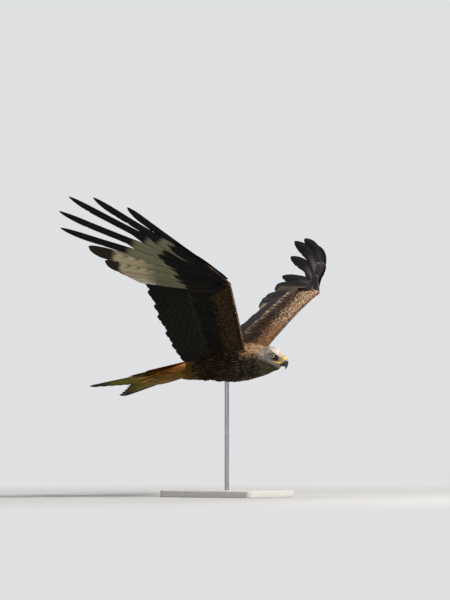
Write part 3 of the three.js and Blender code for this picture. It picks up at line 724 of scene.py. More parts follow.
@dataclass(frozen=True)
class TailFinish(FeatherFinish):
    """Rufous tail feathers, faintly barred below and olive there from painted green bounce light, dark on
    the outer edge and tip.
    """

    name: str = "tail_quills"
    roughness: float = 0.55
    barbs: float = 80.0
    low_rusty: Colour = (0.30, 0.12, 0.022)
    low_bar: Colour = (0.04, 0.025, 0.006)

    def dress(self) -> Material:
        """Makes the material."""
        graph, across, aside, along, lot, grain = self.start()
        rank, under = graph.attribute("rank"), graph.attribute("under")
        wobble = (grain - 0.5) * 0.08
        bars = (along * 60 + aside * 4 + lot * 6).wave().step(0.66, 0.92)
        top = graph.mix(bars * 0.35, graph.brighten(TAIL_RUFOUS, lot * 0.35 + 0.8), MID_BROWN)
        far_side = graph.attribute("side").step(0.2, 0.6)
        # The underside: olive from painted green bounce light, rufous towards the roots on the far side
        base = graph.mix(far_side * along.step(0.75, 0.4), TAIL_UNDER_PAINTED_BOUNCE, self.low_rusty)
        low = graph.mix(bars * 0.14, graph.brighten(base, lot * 0.3 + 0.85), self.low_bar)
        outer = rank.step(4.2, 5.0)
        web = outer * (across + wobble).step(0.56, 0.7) * along.step(0.35, 0.6)
        tip = (along + wobble + outer * 0.05).step(0.87, 0.94)
        colour = graph.layers(
            top,
            (under, low),
            (web.most(tip * 0.95), BLACK),
            ((along + wobble * 0.4).step(0.985, 1.0) * 0.5, CREAM),
        )
        return self.finish(graph, colour, grain, aside)


@dataclass(frozen=True)
class PlainFinish:
    """A hard surface of one colour with mottling, wear and a fine bump."""

    name: str
    colour: Colour
    dark: Colour
    roughness: float = 0.4
    scale: float = 300.0
    metallic: float = 0.0
    coat: float = 0.0
    depth: float = 0.0001

    def dress(self) -> Material:
        """Makes the material."""
        graph = Graph(self.name)
        place = graph.node("ShaderNodeTexCoord", out="Object")
        broad = graph.noise(place, self.scale * 0.15, 3.0)
        fine = graph.noise(place, self.scale, 4.0)
        colour = graph.mix(broad.step(0.35, 0.7), self.colour, self.dark)
        graph.set(
            Base_Color=graph.brighten(colour, fine * 0.3 + 0.85),
            Roughness=fine * 0.25 + (self.roughness - 0.12),
            Metallic=self.metallic,
            Coat_Weight=self.coat,
            Coat_Roughness=0.08,
        )
        graph.bump(fine, self.depth)
        return graph.material


@dataclass(frozen=True)
class HornFinish:
    """Horn of the bill: greyish pink along the ridge near its root, black to the hook."""

    name: str = "bill_horn"
    hook: Colour = (0.012, 0.011, 0.012)
    ridge: Colour = (0.24, 0.19, 0.22)

    def dress(self) -> Material:
        """Makes the material."""
        graph = Graph(self.name)
        ahead, _, above = graph.split(graph.place())
        layers = graph.noise(graph.join(ahead * 1.6, 0.0, above * 0.2), 1.0, 4.0)
        near_root = (ahead * 0.9 - above * 1.3 + layers * 3).step(13, 1)
        colour = graph.mix(near_root, self.hook, self.ridge)
        graph.set(Base_Color=colour, Roughness=layers * 0.2 + 0.22, Coat_Weight=0.35, Coat_Roughness=0.15)
        graph.bump(layers, 0.00012)
        return graph.material


@dataclass(frozen=True)
class CereFinish:
    """Waxy yellow skin, a little orange in its folds."""

    name: str = "cere_skin"
    fold: Colour = (0.62, 0.36, 0.035)
    wax: Colour = (0.80, 0.58, 0.09)

    def dress(self) -> Material:
        """Makes the material."""
        graph = Graph(self.name)
        place = graph.place()
        folds = graph.noise(place, 0.45, 4.0)
        fine = graph.noise(place, 2.4, 3.0)
        colour = graph.mix(folds.step(0.4, 0.65), self.fold, self.wax)
        graph.set(Base_Color=colour, Roughness=fine * 0.2 + 0.32, Coat_Weight=0.15, Coat_Roughness=0.3)
        graph.bump(folds * 0.7 + fine * 0.3, 0.0003)
        return graph.material


@dataclass(frozen=True)
class EyeFinish:
    """An eyeball: black pupil, a pale iris with fine rays, a dark rim and a wet gloss."""

    name: str = "eyeball"
    pupil: float = 2.9
    iris: float = 5.2
    gold: Colour = (0.62, 0.52, 0.28)
    pale: Colour = (0.90, 0.84, 0.62)
    rim: Colour = (0.14, 0.085, 0.025)

    def dress(self) -> Material:
        """Makes the material. `off` is the distance from the eye's axis in millimetres."""
        graph = Graph(self.name)
        off = graph.attribute("off")
        rays = graph.noise(graph.place(), 1.8, 4.0)
        iris = graph.mix(rays.step(0.3, 0.7), self.gold, self.pale)
        iris = graph.mix(off.step(4.2, 5.1), iris, self.rim)
        colour = graph.layers(
            (0.002, 0.002, 0.002),
            (off.step(self.pupil - 0.1, self.pupil + 0.15), iris),
            (off.step(self.iris - 0.1, self.iris + 0.2), (0.004, 0.003, 0.002)),
        )
        graph.set(Base_Color=colour, Roughness=0.35, Specular_IOR_Level=0.15, Coat_Weight=0.7,
                  Coat_Roughness=0.03)
        return graph.material


@dataclass(frozen=True)
class StageFinish:
    """The floor: pale and even, melting into the light round it far from the bird."""

    name: str = "stage_floor"
    tone: float = 0.50
    far: Colour = (0.74, 0.75, 0.76)

    def dress(self) -> Material:
        """Makes the material."""
        graph = Graph(self.name)
        x, y, _ = graph.split(graph.node("ShaderNodeTexCoord", out="Object"))
        distance = (x * x + y * y) ** 0.5
        melt = distance.step(0.3, 2.2)
        tone = (self.tone, self.tone, self.tone * 0.99)
        graph.set(
            Base_Color=graph.mix(melt, tone, (0.0, 0.0, 0.0)),
            Roughness=0.85,
            Specular_IOR_Level=0.0,
            Emission_Color=graph.mix(melt, (0.0, 0.0, 0.0), self.far),
            Emission_Strength=1.0,
        )
        return graph.material


# Making pieces


def select_only(*objects: Piece) -> None:
    """Deselects everything, then selects these, the first of them active."""
    bpy.ops.object.select_all(action="DESELECT")
    for item in objects:
        item.select_set(True)
    bpy.context.view_layer.objects.active = objects[0]


def smooth(piece: Piece, degrees: float = 50.0) -> None:
    """Shades a piece smooth, with sharp edges past an angle."""
    select_only(piece)
    bpy.ops.object.shade_smooth_by_angle(angle=math.radians(degrees))


def apply_all(piece: Piece) -> None:
    """Applies every modifier of a piece."""
    select_only(piece)
    for modifier in list(piece.modifiers):
        bpy.ops.object.modifier_apply(modifier=modifier.name)


def settle(piece: Piece) -> None:
    """Moves a piece's place, turn and scale into its mesh."""
    select_only(piece)
    bpy.ops.object.transform_apply(location=True, rotation=True, scale=True)


def points_of(piece: Piece) -> Array:
    """A mesh's vertices."""
    found = np.empty(len(piece.data.vertices) * 3, np.float32)
    piece.data.vertices.foreach_get("co", found)
    return found.reshape(-1, 3).astype(float)


def set_points(piece: Piece, points: Array) -> None:
    """Gives a mesh new places for its vertices."""
    piece.data.vertices.foreach_set("co", points.astype(np.float32).ravel())
    piece.data.update()


def points_on_head(piece: Piece) -> Array:
    """A mesh's vertices in the head's frame."""
    return to_head(STANCE.read(points_of(piece)))


def set_on_head(piece: Piece, points: Array) -> None:
    """Moves a mesh's vertices to places in the head's frame."""
    set_points(piece, STANCE.place(from_head(points)))


def give(piece: Piece, name: str, values: Array, domain: str = "POINT") -> None:
    """Gives a mesh a named attribute of numbers or of places."""
    places = values.ndim > 1
    made = piece.data.attributes.new(name, "FLOAT_VECTOR" if places else "FLOAT", domain)
    made.data.foreach_set("vector" if places else "value", values.astype(np.float32).ravel())


def hand_over(
    piece: Piece, material: Material, replaced: tuple[str, ...] = ()
) -> Piece:
    """Gives a finished piece its material and its body.

    Args:
        piece: The piece.
        material: Its material.
        replaced: The nodes that it stands for.

    Returns:
        The piece.
    """
    piece.data.materials.clear()
    piece.data.materials.append(material)
    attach(piece, "root")
    if replaced:
        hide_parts(*replaced)
    log.info("%s: %d faces", piece.name, len(piece.data.polygons))
    return piece


def mesh_piece(name: str, points: Array, loops: Array, sizes: Array) -> Piece:
    """A mesh object from points in the bird's frame and faces as one run of corners.

    Args:
        name: The piece's name.
        points: Places in millimetres on the bird's axes.
        loops: The corners of all faces, one after the other.
        sizes: The count of corners of each face.

    Returns:
        The object, in the part's frame.
    """
    mesh = bpy.data.meshes.new(name)
    mesh.vertices.add(len(points))
    mesh.vertices.foreach_set("co", STANCE.place(points).astype(np.float32).ravel())
    mesh.loops.add(len(loops))
    mesh.loops.foreach_set("vertex_index", loops.astype(np.int32))
    mesh.polygons.add(len(sizes))
    starts = np.concatenate([[0], np.cumsum(sizes)[:-1]])
    mesh.polygons.foreach_set("loop_start", starts.astype(np.int32))
    mesh.update(calc_edges=True)
    piece = bpy.data.objects.new(name, mesh)
    bpy.context.scene.collection.objects.link(piece)
    return piece


def ring_faces(rings: int, around: int, first: int = 0) -> tuple[Array, Array]:
    """Quads between rings of points, and their two end faces.

    Args:
        rings: The count of rings.
        around: The points in each.
        first: The number of the first point.

    Returns:
        The quads, and the two end faces.
    """
    i, j = np.meshgrid(np.arange(rings - 1), np.arange(around), indexing="ij")
    a, b = i * around + j, i * around + (j + 1) % around
    quads = np.stack([a, b, b + around, a + around], -1).reshape(-1, 4) + first
    ends = np.stack([np.arange(around)[::-1], (rings - 1) * around + np.arange(around)]) + first
    return quads, ends


def loft(name: str, rings: Array) -> Piece:
    """A closed body over rings of points in the bird's frame.

    Args:
        name: The piece's name.
        rings: Points as rings, points round each, and places.

    Returns:
        The object, its normals turned outwards.
    """
    quads, ends = ring_faces(*rings.shape[:2])
    loops = np.concatenate([quads.ravel(), ends.ravel()])
    sizes = np.concatenate([np.full(len(quads), 4), np.full(2, rings.shape[1])])
    piece = mesh_piece(name, rings.reshape(-1, 3), loops, sizes)
    turn_outwards(piece)
    return piece


def turn_outwards(piece: Piece) -> None:
    """Merges a closed mesh's doubles and turns its faces outwards."""
    select_only(piece)
    bpy.ops.object.mode_set(mode="EDIT")
    bpy.ops.mesh.select_all(action="SELECT")
    bpy.ops.mesh.remove_doubles(threshold=1e-6)
    bpy.ops.mesh.normals_make_consistent(inside=False)
    bpy.ops.object.mode_set(mode="OBJECT")


def join(name: str, pieces: list[Piece]) -> Piece:
    """Joins pieces into the first."""
    select_only(*pieces)
    bpy.ops.object.join()
    pieces[0].name = pieces[0].data.name = name
    return pieces[0]


# Feathers


def vane_widths(along: Array, full: float | Array, root: float, swell: float,
                start: float, blunt: float) -> Array:
    """The width of one vane along its feather.

    Args:
        along: Places from root to tip, 0 to 1.
        full: The full width, one for all feathers or one for each.
        root: The width at the root over the full width.
        swell: Where the full width is reached.
        start: Where the tip begins to round off.
        blunt: How blunt the tip is; 0.5 is round and larger is more pointed.

    Returns:
        Widths by places, and by feathers before them where there is one full width for each.
    """
    body = blend(root, 1.0, ease(along, -0.02, swell))
    tip = np.clip(1 - (np.clip((along - start) / (1 - start), 0, 1)) ** 2, 0, 1) ** blunt
    return np.asarray(full)[..., None] * (body * np.maximum(tip, 0.04))


@dataclass
class Vanes:
    """Feathers of one kind, all with the same count of places along and across.

    Arrays hold feathers first. `line` is the shaft, `up` the side that shows, `lead` and `trail`
    the widths of the two vanes and `to_lead` a direction on the leading one's side. All but the
    line may be given once for all feathers or places.
    """

    line: Array
    up: Array
    to_lead: Array
    lead: Array
    trail: Array
    roll: float = 0.0
    arch: float = 0.06
    shaft: float = 0.45
    thick: float = 0.12
    columns: tuple[float, ...] = (-1.0, 0.0, 1.0)
    notes: dict[str, Array] = field(default_factory=dict)
    bake: Array | None = None
    draws: np.random.Generator = field(default_factory=lambda: np.random.default_rng(7))

    def __post_init__(self) -> None:
        """Spreads what the feathers share over all of them."""
        shape = self.line.shape
        self.up = np.broadcast_to(self.up, shape)
        self.to_lead = np.broadcast_to(self.to_lead, (shape[0], 3))
        self.lead, self.trail = (np.broadcast_to(w, shape[:2]) for w in (self.lead, self.trail))

    def rings(self) -> tuple[Array, Array]:
        """Works out the points.

        Returns:
            Points as feathers, rings, points round a ring and places, and the place across each
            ring point, -1 on the trailing edge to 1 on the leading one, feathers first.
        """
        along = unit(np.gradient(self.line, axis=1))
        up = unit(self.up - along * dot(self.up, along))
        across = np.cross(along, up)
        sign = np.where(dot(across.mean(1), self.to_lead) < 0, -1, 1)
        turn = math.radians(self.roll)
        tilt = math.sin(turn) * sign[..., None]
        across, up = across * math.cos(turn) + up * tilt, up * math.cos(turn) - across * tilt
        u = np.array(self.columns)
        width = np.where((u * sign > 0)[:, None], self.lead[..., None], self.trail[..., None])
        full = np.maximum(self.lead.max(1), self.trail.max(1))[:, None, None]
        drop = self.arch * (width * u) ** 2 / full * 2
        middle = self.line[:, :, None] + across[:, :, None] * (width * u)[..., None]
        middle = middle - up[:, :, None] * drop[..., None]
        taper = np.linspace(1, 0.3, self.line.shape[1])[:, None]
        thin = 1 - np.abs(u) ** 6
        half = self.thick * thin + self.shaft * np.exp(-((u * full / 1.1) ** 2)) * taper * thin
        raised = up[:, :, None] * half[..., None]
        top, low = middle + raised, middle - raised
        ring = np.concatenate([top, low[:, :, -2:0:-1]], 2)
        return ring, np.concatenate([u, u[-2:0:-1]]) * sign

    def build(self, name: str) -> Piece:
        """Makes one object of all the feathers, with its attributes and maps.

        Args:
            name: The object's name.

        Returns:
            The object.
        """
        rings, across = self.rings()
        count, stations, around = rings.shape[:3]
        quads, ends = ring_faces(stations, around)
        points_each, faces_each = stations * around, len(quads) + 2
        corners = np.concatenate([quads.ravel(), ends.ravel()])
        loops = (corners + points_each * np.arange(count)[:, None]).ravel()
        sizes = np.tile(np.concatenate([np.full(len(quads), 4), np.full(2, around)]), count)
        piece = mesh_piece(name, rings.reshape(-1, 3), loops, sizes)
        below = np.arange(around) >= len(self.columns) - 1
        under = np.concatenate([np.tile(below, stations - 1), [0, 0]])
        give(piece, "under", np.tile(under, count), "FACE")
        notes = {"lot": self.draws.random(count), "place": self.line[:, 1], **self.notes}
        for key, values in notes.items():
            give(piece, key, np.repeat(values, faces_each, 0), "FACE")
        lengths = np.linalg.norm(np.diff(self.line, axis=1), axis=-1).cumsum(1)
        part = np.concatenate([np.zeros((count, 1)), lengths / lengths[:, -1:]], 1)
        u, v = np.tile((across + 1) / 2, (1, stations)), np.repeat(part, around, 1)
        corner = np.stack([u, v], -1).reshape(-1, 2)[loops]
        self.add_map(piece, "Vane", corner)
        side = np.repeat(np.tile(under, count), sizes)
        self.add_map(piece, "OFBake", self.bake_map(loops // points_each, corner, side, count))
        smooth(piece)
        return piece

    def bake_map(self, owner: Array, corner: Array, under: Array, count: int) -> Array:
        """Places for the bake: a patch at each root, or a strip to each side of a quill.

        Args:
            owner: The feather of each corner.
            corner: The place of each corner across and along its feather.
            under: 1 for each corner of a face on the under side.
            count: The count of feathers.

        Returns:
            A place for each corner.
        """
        if self.bake is not None:
            low, high = self.bake.min(0), self.bake.max(0)
            home = 0.02 + 0.96 * (self.bake - low) / np.maximum(high - low, 1e-6)
            return home[owner] + (corner - 0.5) * 0.003
        strip = owner * 2 + under
        across = (strip + 0.08 + corner[:, 0] * 0.84) / (2 * count)
        return np.stack([across, 0.01 + corner[:, 1] * 0.98], -1)

    @staticmethod
    def add_map(piece: Piece, name: str, corner: Array) -> None:
        """Adds a UV map."""
        made = piece.data.uv_layers.new(name=name)
        made.uv.foreach_set("vector", corner.astype(np.float32).ravel())


# Body


@dataclass
class Hide:
    """The skin: one body of flesh under the feathers, and the places on it."""

    depth: float = 3.0
    face_depth: float = 1.6
    wing_sink: float = 2.0
    voxel: float = 0.0021
    rod_gap: float = 9.0
    tree: BVHTree | None = None

    def build(self, wings: tuple[Wing, ...]) -> Piece:
        """Makes the skin, and a guide for the feathers that closes the hollows of the feet.

        Args:
            wings: The wings, for their fleshy fronts.

        Returns:
            The skin.
        """
        plugs = [loft("flesh_belly", self.filled_hollows()), loft("flesh_socket", self.filled_socket())]
        guide = self.flesh("guide", wings, plugs)
        points = STANCE.read(points_of(guide))
        polygons = [tuple(p.vertices) for p in guide.data.polygons]
        self.tree = BVHTree.FromPolygons([Vector(p) for p in points], polygons)
        bpy.data.meshes.remove(guide.data)
        skin = self.flesh("skin", wings, [])
        give(skin, "place", STANCE.read(points_of(skin)))
        smooth(skin, 80)
        return skin

    def flesh(self, name: str, wings: tuple[Wing, ...], more: list[Piece]) -> Piece:
        """Joins the solids of flesh into one surface, sunk in by the depth of the coat.

        Args:
            name: The name of the result.
            wings: The wings, for their fleshy fronts.
            more: Further bodies to join.

        Returns:
            The surface.
        """
        copies = list(more)
        for node in FLESH:
            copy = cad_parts[node].copy()
            copy.data = copy.data.copy()
            copy.parent = None
            for key in list(copy.keys()):
                del copy[key]
            bpy.context.scene.collection.objects.link(copy)
            copies.append(copy)
        for wing in wings:
            copies.append(loft(f"flesh_{wing.side.name}", wing.core_rings()))
        copies.append(loft("flesh_tail", Tail().core_rings()))
        copies += [self.brow(side) for side in Side]
        body = join(name, copies)
        turn_outwards(body)
        remesh = body.modifiers.new("one_surface", "REMESH")
        remesh.mode = "VOXEL"
        remesh.voxel_size = self.voxel
        even = body.modifiers.new("even", "SMOOTH")
        even.factor = 0.5
        even.iterations = 4
        apply_all(body)
        self.sink(body)
        return body

    def filled_socket(self) -> Array:
        """Rings of a plug in the hole of the rod, level with the belly."""
        x, y = (self.rod_gap * MM * v for v in circle(24))
        rings = [np.column_stack([x, y, np.full(24, z)]) for z in np.linspace(*SOCKET, 5)]
        return STANCE.read(np.array(rings))

    @staticmethod
    def filled_hollows() -> Array:
        """Rings of a body under the belly that closes the hollows of the feet."""
        middle, above = -12.0, 6.0
        flank, fall = (np.sign(v) * np.abs(v) ** 0.7 for v in circle(32))
        rings = []
        for ahead, bottom, half in even_rows(UNDERBELLY, 17):
            up = middle + np.where(fall > 0, above, middle - bottom) * fall
            rings.append(np.column_stack([np.full(32, ahead), half * flank, up]))
        return np.array(rings)

    @staticmethod
    def brow(side: Side) -> Piece:
        """The bony ridge that overhangs the eye and gives the frown.

        Args:
            side: The side of the head.

        Returns:
            The ridge.
        """
        t = np.linspace(0, 1, 24)[:, None]
        cos, sin = circle(14)
        x = blend(-33, -9, t)
        above = 8.3 + 0.8 * np.sin(math.pi * t) - 1.8 * t
        aside = np.interp(x, [-33, -24, -16, -9], [19.4, 21.6, 20.2, 15.2])
        swell = np.sin(math.pi * np.clip(t, 0.01, 0.99)) ** 0.6
        rings = np.stack([
            x + 0 * cos,
            side.value * (aside + swell * (2.6 * cos - 1.6)),
            above + swell * (1.9 * sin - 0.35 * cos),
        ], -1)
        return loft(f"flesh_brow_{side.name}", from_head(rings))

    def sink(self, skin: Piece) -> None:
        """Draws the surface in, less round the eyes, the bill and the thin wings.

        Args:
            skin: The surface.
        """
        points = STANCE.read(points_of(skin))
        normals = np.empty(len(points) * 3, np.float32)
        skin.data.vertices.foreach_get("normal", normals)
        normals = normals.reshape(-1, 3) @ STANCE.turn()
        head = to_head(points)
        eye = np.linalg.norm(mirrored(head) - EYE, axis=1)
        depth = blend(self.depth, self.face_depth, ease(head[:, 0], -62, -40))
        depth = depth * ease(eye, 9, 15) * blend(1, 0.15, ease(head[:, 0], -12, -5))
        aside = np.abs(points[:, 1])
        depth = blend(depth, self.wing_sink, ease(aside, 55, 75))
        depth = np.where(head[:, 0] > -70, depth, np.maximum(depth, 1.0))
        set_points(skin, STANCE.place(points - normals * depth[:, None]))

    def cling(self, points: Array, limit: float = 7.0) -> tuple[Array, Array, Array]:
        """The nearest places on the skin.

        Args:
            points: Places, any shape before the last axis.
            limit: How far off a point may be and still be drawn to the skin.

        Returns:
            The places, the skin's normals there, and 1 where a point was near enough.
        """
        flat = points.reshape(-1, 3)
        found, normals = np.empty_like(flat), np.empty_like(flat)
        gap = np.empty(len(flat))
        for i, point in enumerate(flat):
            place, normal, _, far = self.tree.find_nearest(point)
            found[i], normals[i], gap[i] = place, normal, far
        near = 1 - ease(gap, limit * 0.5, limit)
        return found.reshape(points.shape), normals.reshape(points.shape), near.reshape(points.shape[:-1])


@dataclass
class Lie:
    """Roots of feathers on the skin, with the way that they point and their sizes."""

    root: Array
    way: Array
    length: Array
    width: Array
    lift: Array
    home: Array

    def keep(self, chosen: Array) -> Lie:
        """Only the chosen ones."""
        return Lie(*(getattr(self, f)[chosen] for f in self.__dataclass_fields__))

    def vanes(self, hide: Hide, places: Array, columns: tuple[float, ...], seed: int,
              blunt: float = 0.5) -> Vanes:
        """Feathers that hug the skin from root to tip.

        Args:
            hide: The skin.
            places: Places along each feather.
            columns: Places across.
            seed: The seed of its lots.
            blunt: How blunt the tips are.

        Returns:
            The feathers.
        """
        base, normal, _ = hide.cling(self.root)
        way = unit(self.way - normal * dot(self.way, normal))
        reach = self.length[:, None] * places
        straight = base[:, None] + way[:, None] * reach[..., None]
        near, normals, held = hide.cling(straight)
        held = held[..., None]
        up = unit(blend(np.broadcast_to(normal[:, None], near.shape), normals, held))
        lift = self.lift[:, None] * places**0.8 - 0.2
        line = blend(straight, near, held) + up * lift[..., None]
        draws = np.random.default_rng(seed)
        width = vane_widths(places, self.width / 2, 0.45, 0.35, 0.5, blunt)
        return Vanes(line, up, np.cross(normal, way), width, width, arch=0.12, shaft=0.14, thick=0.1,
                     columns=columns, bake=self.home, draws=draws)


# The length, width, spacing of rows and lift of body feathers by their distance from the bill

COAT_SIZES: Table = ((0, 4.8, 2.5, 1.6, 1.35), (14, 6, 3.0, 2.0, 1.55), (38, 10, 4.4, 3.0, 1.9),
                     (62, 18, 6.6, 5.0, 2.2), (92, 27, 9.6, 7.4, 2.9), (150, 35, 14, 10, 3.2),
                     (260, 38, 17, 11, 3.2), (330, 40, 16, 11, 3.2), (430, 48, 16, 10, 3.0))


@dataclass
class Coat:
    """The contour feathers of head, neck, body and the root of the tail, in rows down the spine."""

    hide: Hide
    seed: int = 11
    crowding: float = 0.62
    head_from: float = -58.0
    neck_from: float = 84.0
    tail_from: float = -100.0
    wings: tuple[float, float] = (-5.0, 105.0)
    reach_beside: float = 1.42
    reach_else: float = 2.2
    face_from: float = -60.0
    eye_gap: float = 8.9
    mouth_gap: float = 1.3
    rod_gap: float = 6.5
    head_reach: float = 60.0

    def spine(self) -> tuple[Array, Array, Array]:
        """Places down the spine from the bill, each way ahead, and the distances from the bill."""
        knots = np.array(SPINE, float)[::-1]
        line = through(np.concatenate([knots[:1], knots, knots[-1:]]), 24)
        steps = np.linalg.norm(np.diff(line, axis=0), axis=1)
        distance = np.concatenate([[0], np.cumsum(steps)])
        ahead = -unit(np.gradient(line, axis=0))
        return line, ahead, distance

    def rows(self) -> Lie:
        """Roots in rows round the body, each row offset by half a feather from the last."""
        line, ahead, distance = self.spine()
        draws = np.random.default_rng(self.seed)
        found: list[tuple[Array, ...]] = []
        at, row = -2.0, 0
        while at < distance[-1] - 4:
            _, length, width, spacing, lift = table_at(COAT_SIZES, at)
            centre, forward = between(line, distance, at), unit(between(ahead, distance, at))
            aside = np.array([0.0, 1.0, 0.0])
            upward = np.cross(forward, aside)
            probe = np.linspace(0, 2 * math.pi, 73)
            _, radii = self.probe(centre, aside, upward, probe)
            usual = min(np.median(radii), 90.0)
            trimmed = np.minimum(radii, usual * 1.5)
            steps = np.hypot(np.diff(trimmed), trimmed[1:] * np.diff(probe))
            arc = np.concatenate([[0], np.cumsum(steps)])
            count = max(8, round(arc[-1] / (width * self.crowding)))
            turns = np.arange(count) + 0.5 * (row % 2) + draws.uniform(-0.22, 0.22, count)
            angles = np.interp(turns / count * arc[-1] % arc[-1], arc, probe)
            jitter = draws.uniform(-0.28, 0.28, count) * spacing
            for angle, shift in zip(angles, jitter):
                start = centre - forward * shift
                spots, reach = self.probe(start, aside, upward, np.array([angle]))
                beside_wings = self.wings[0] < centre[0] < self.wings[1]
                if reach[0] > usual * (self.reach_beside if beside_wings else self.reach_else):
                    continue
                found.append((spots[0], -forward, length * draws.uniform(0.86, 1.14),
                              width * draws.uniform(0.9, 1.12), lift * draws.uniform(0.7, 1.3),
                              np.array([at / distance[-1], angle / (2 * math.pi)])))
            at += spacing
            row += 1
        log.info("%d rows, %d feathers", row, len(found))
        return Lie(*(np.array([f[k] for f in found]) for k in range(6)))

    def probe(self, centre: Array, aside: Array, upward: Array,
              angles: Array) -> tuple[Array, Array]:
        """Where rays from the spine leave the skin.

        The head is hollow at its front, so there the rays come in from outside.

        Args:
            centre: The place on the spine.
            aside: Left.
            upward: Up, square to the spine.
            angles: The rays' angles from left to up.

        Returns:
            The places, and their distances from the centre.
        """
        spots, reach = [], []
        outer = self.head_reach if centre[0] > self.wings[1] else 0.0
        for angle in angles:
            ray = aside * math.cos(angle) + upward * math.sin(angle)
            if outer:
                place, _, _, far = self.hide.tree.ray_cast(centre + ray * outer, -ray, outer)
            else:
                place, _, _, far = self.hide.tree.ray_cast(centre, ray)
            spots.append(centre if place is None else np.array(place))
            reach.append(1e3 if place is None else abs(outer - far))
        return np.array(spots), np.array(reach)

    def comb(self, lie: Lie) -> Lie:
        """Turns the lie round the eyes, and drops what would cover bare parts or cross the rod.

        Args:
            lie: The feathers as they are set in rows.

        Returns:
            The feathers that stay.
        """
        head = to_head(lie.root)
        off = mirrored(head) - EYE
        far = np.linalg.norm(off, axis=1)
        on_face = head[:, 0] > self.face_from
        away = unit(off * (1, 0, 1))
        swirl = (1 - ease(far, 9, 22)) * on_face * (off[:, 0] < 3)
        lie.way = unit(lie.way + away @ HEAD_TURN.T * swirl[:, None] * 0.5)
        mouth = self.near_mouth(head)
        lie.length = lie.length * blend(1, 0.62, (1 - ease(far, 9, 15)) * on_face)
        keep = ~(((far < self.eye_gap) | (mouth < self.mouth_gap)) & on_face)
        collar = np.hypot((head[:, 2] - 2.3) / 12.2, head[:, 1] / 10.4)
        keep &= (head[:, 0] < -9) | ((collar > 1.04) & (head[:, 0] < 1.4))
        axis = STANCE.read(np.array([[0, 0, 0.0], [0, 0, 0.32]]))
        rod = unit(axis[1] - axis[0])
        out = lie.root - axis[1]
        out = np.linalg.norm(out - dot(out, rod) * rod, axis=1)
        keep &= ~((out < self.rod_gap) & (lie.root[:, 2] < -20))
        return lie.keep(keep)

    @staticmethod
    def near_mouth(points: Array) -> Array:
        """How far points are from the line of the mouth, seen from the side.

        Args:
            points: Places in the head's frame.

        Returns:
            The distances.
        """
        (x0, z0), (x1, z1) = MOUTH
        edge = np.array([x1 - x0, z1 - z0])
        flat = points[:, [0, 2]] - (x0, z0)
        t = np.clip(flat @ edge / (edge @ edge), 0, 1)
        return np.linalg.norm(flat - t[:, None] * edge, axis=1)

    def build(self) -> None:
        """Makes the pieces of the coat, divided as the solids are."""
        lie = self.comb(self.rows())
        head = to_head(lie.root)[:, 0] > self.head_from
        forward = lie.root[:, 0]
        neck = ~head & (forward > self.neck_from)
        tail = forward < self.tail_from
        torso = ~(head | neck | tail)
        fine, coarse = np.array([0, 0.3, 0.7, 1.0]), np.array([0, 0.2, 0.45, 0.7, 0.88, 1.0])
        three, five = (-1.0, 0.0, 1.0), (-1.0, -0.55, 0.0, 0.55, 1.0)
        material = BodyFeathers().dress()
        for name, chosen, places, columns, slot in (
            ("head_coat", head, fine, three, "head_feathers"),
            ("neck_coat", neck, coarse, three, "neck_feathers"),
            ("torso_coat", torso, coarse, five, "body_feathers"),
            ("tail_root_coat", tail, coarse, five, "tail_feathers"),
        ):
            vanes = lie.keep(chosen).vanes(self.hide, places, columns, self.seed, 0.6)
            hand_over(vanes.build(name), material)


# Wings


@dataclass(frozen=True)
class Row:
    """A row of coverts on the arm or the hand, as in the solids but closer set.

    `span` runs along the wing, `chord` from the roots to the tips and `heights` above the wing.
    """

    name: str
    salt: int
    on_hand: bool
    count: int
    span: tuple[float, float]
    chord: tuple[float, float]
    lead: float
    trail: float
    heights: tuple[float, float]
    roll: float
    places: int
    columns: int
    finish: str
    uneven: float = 0.03


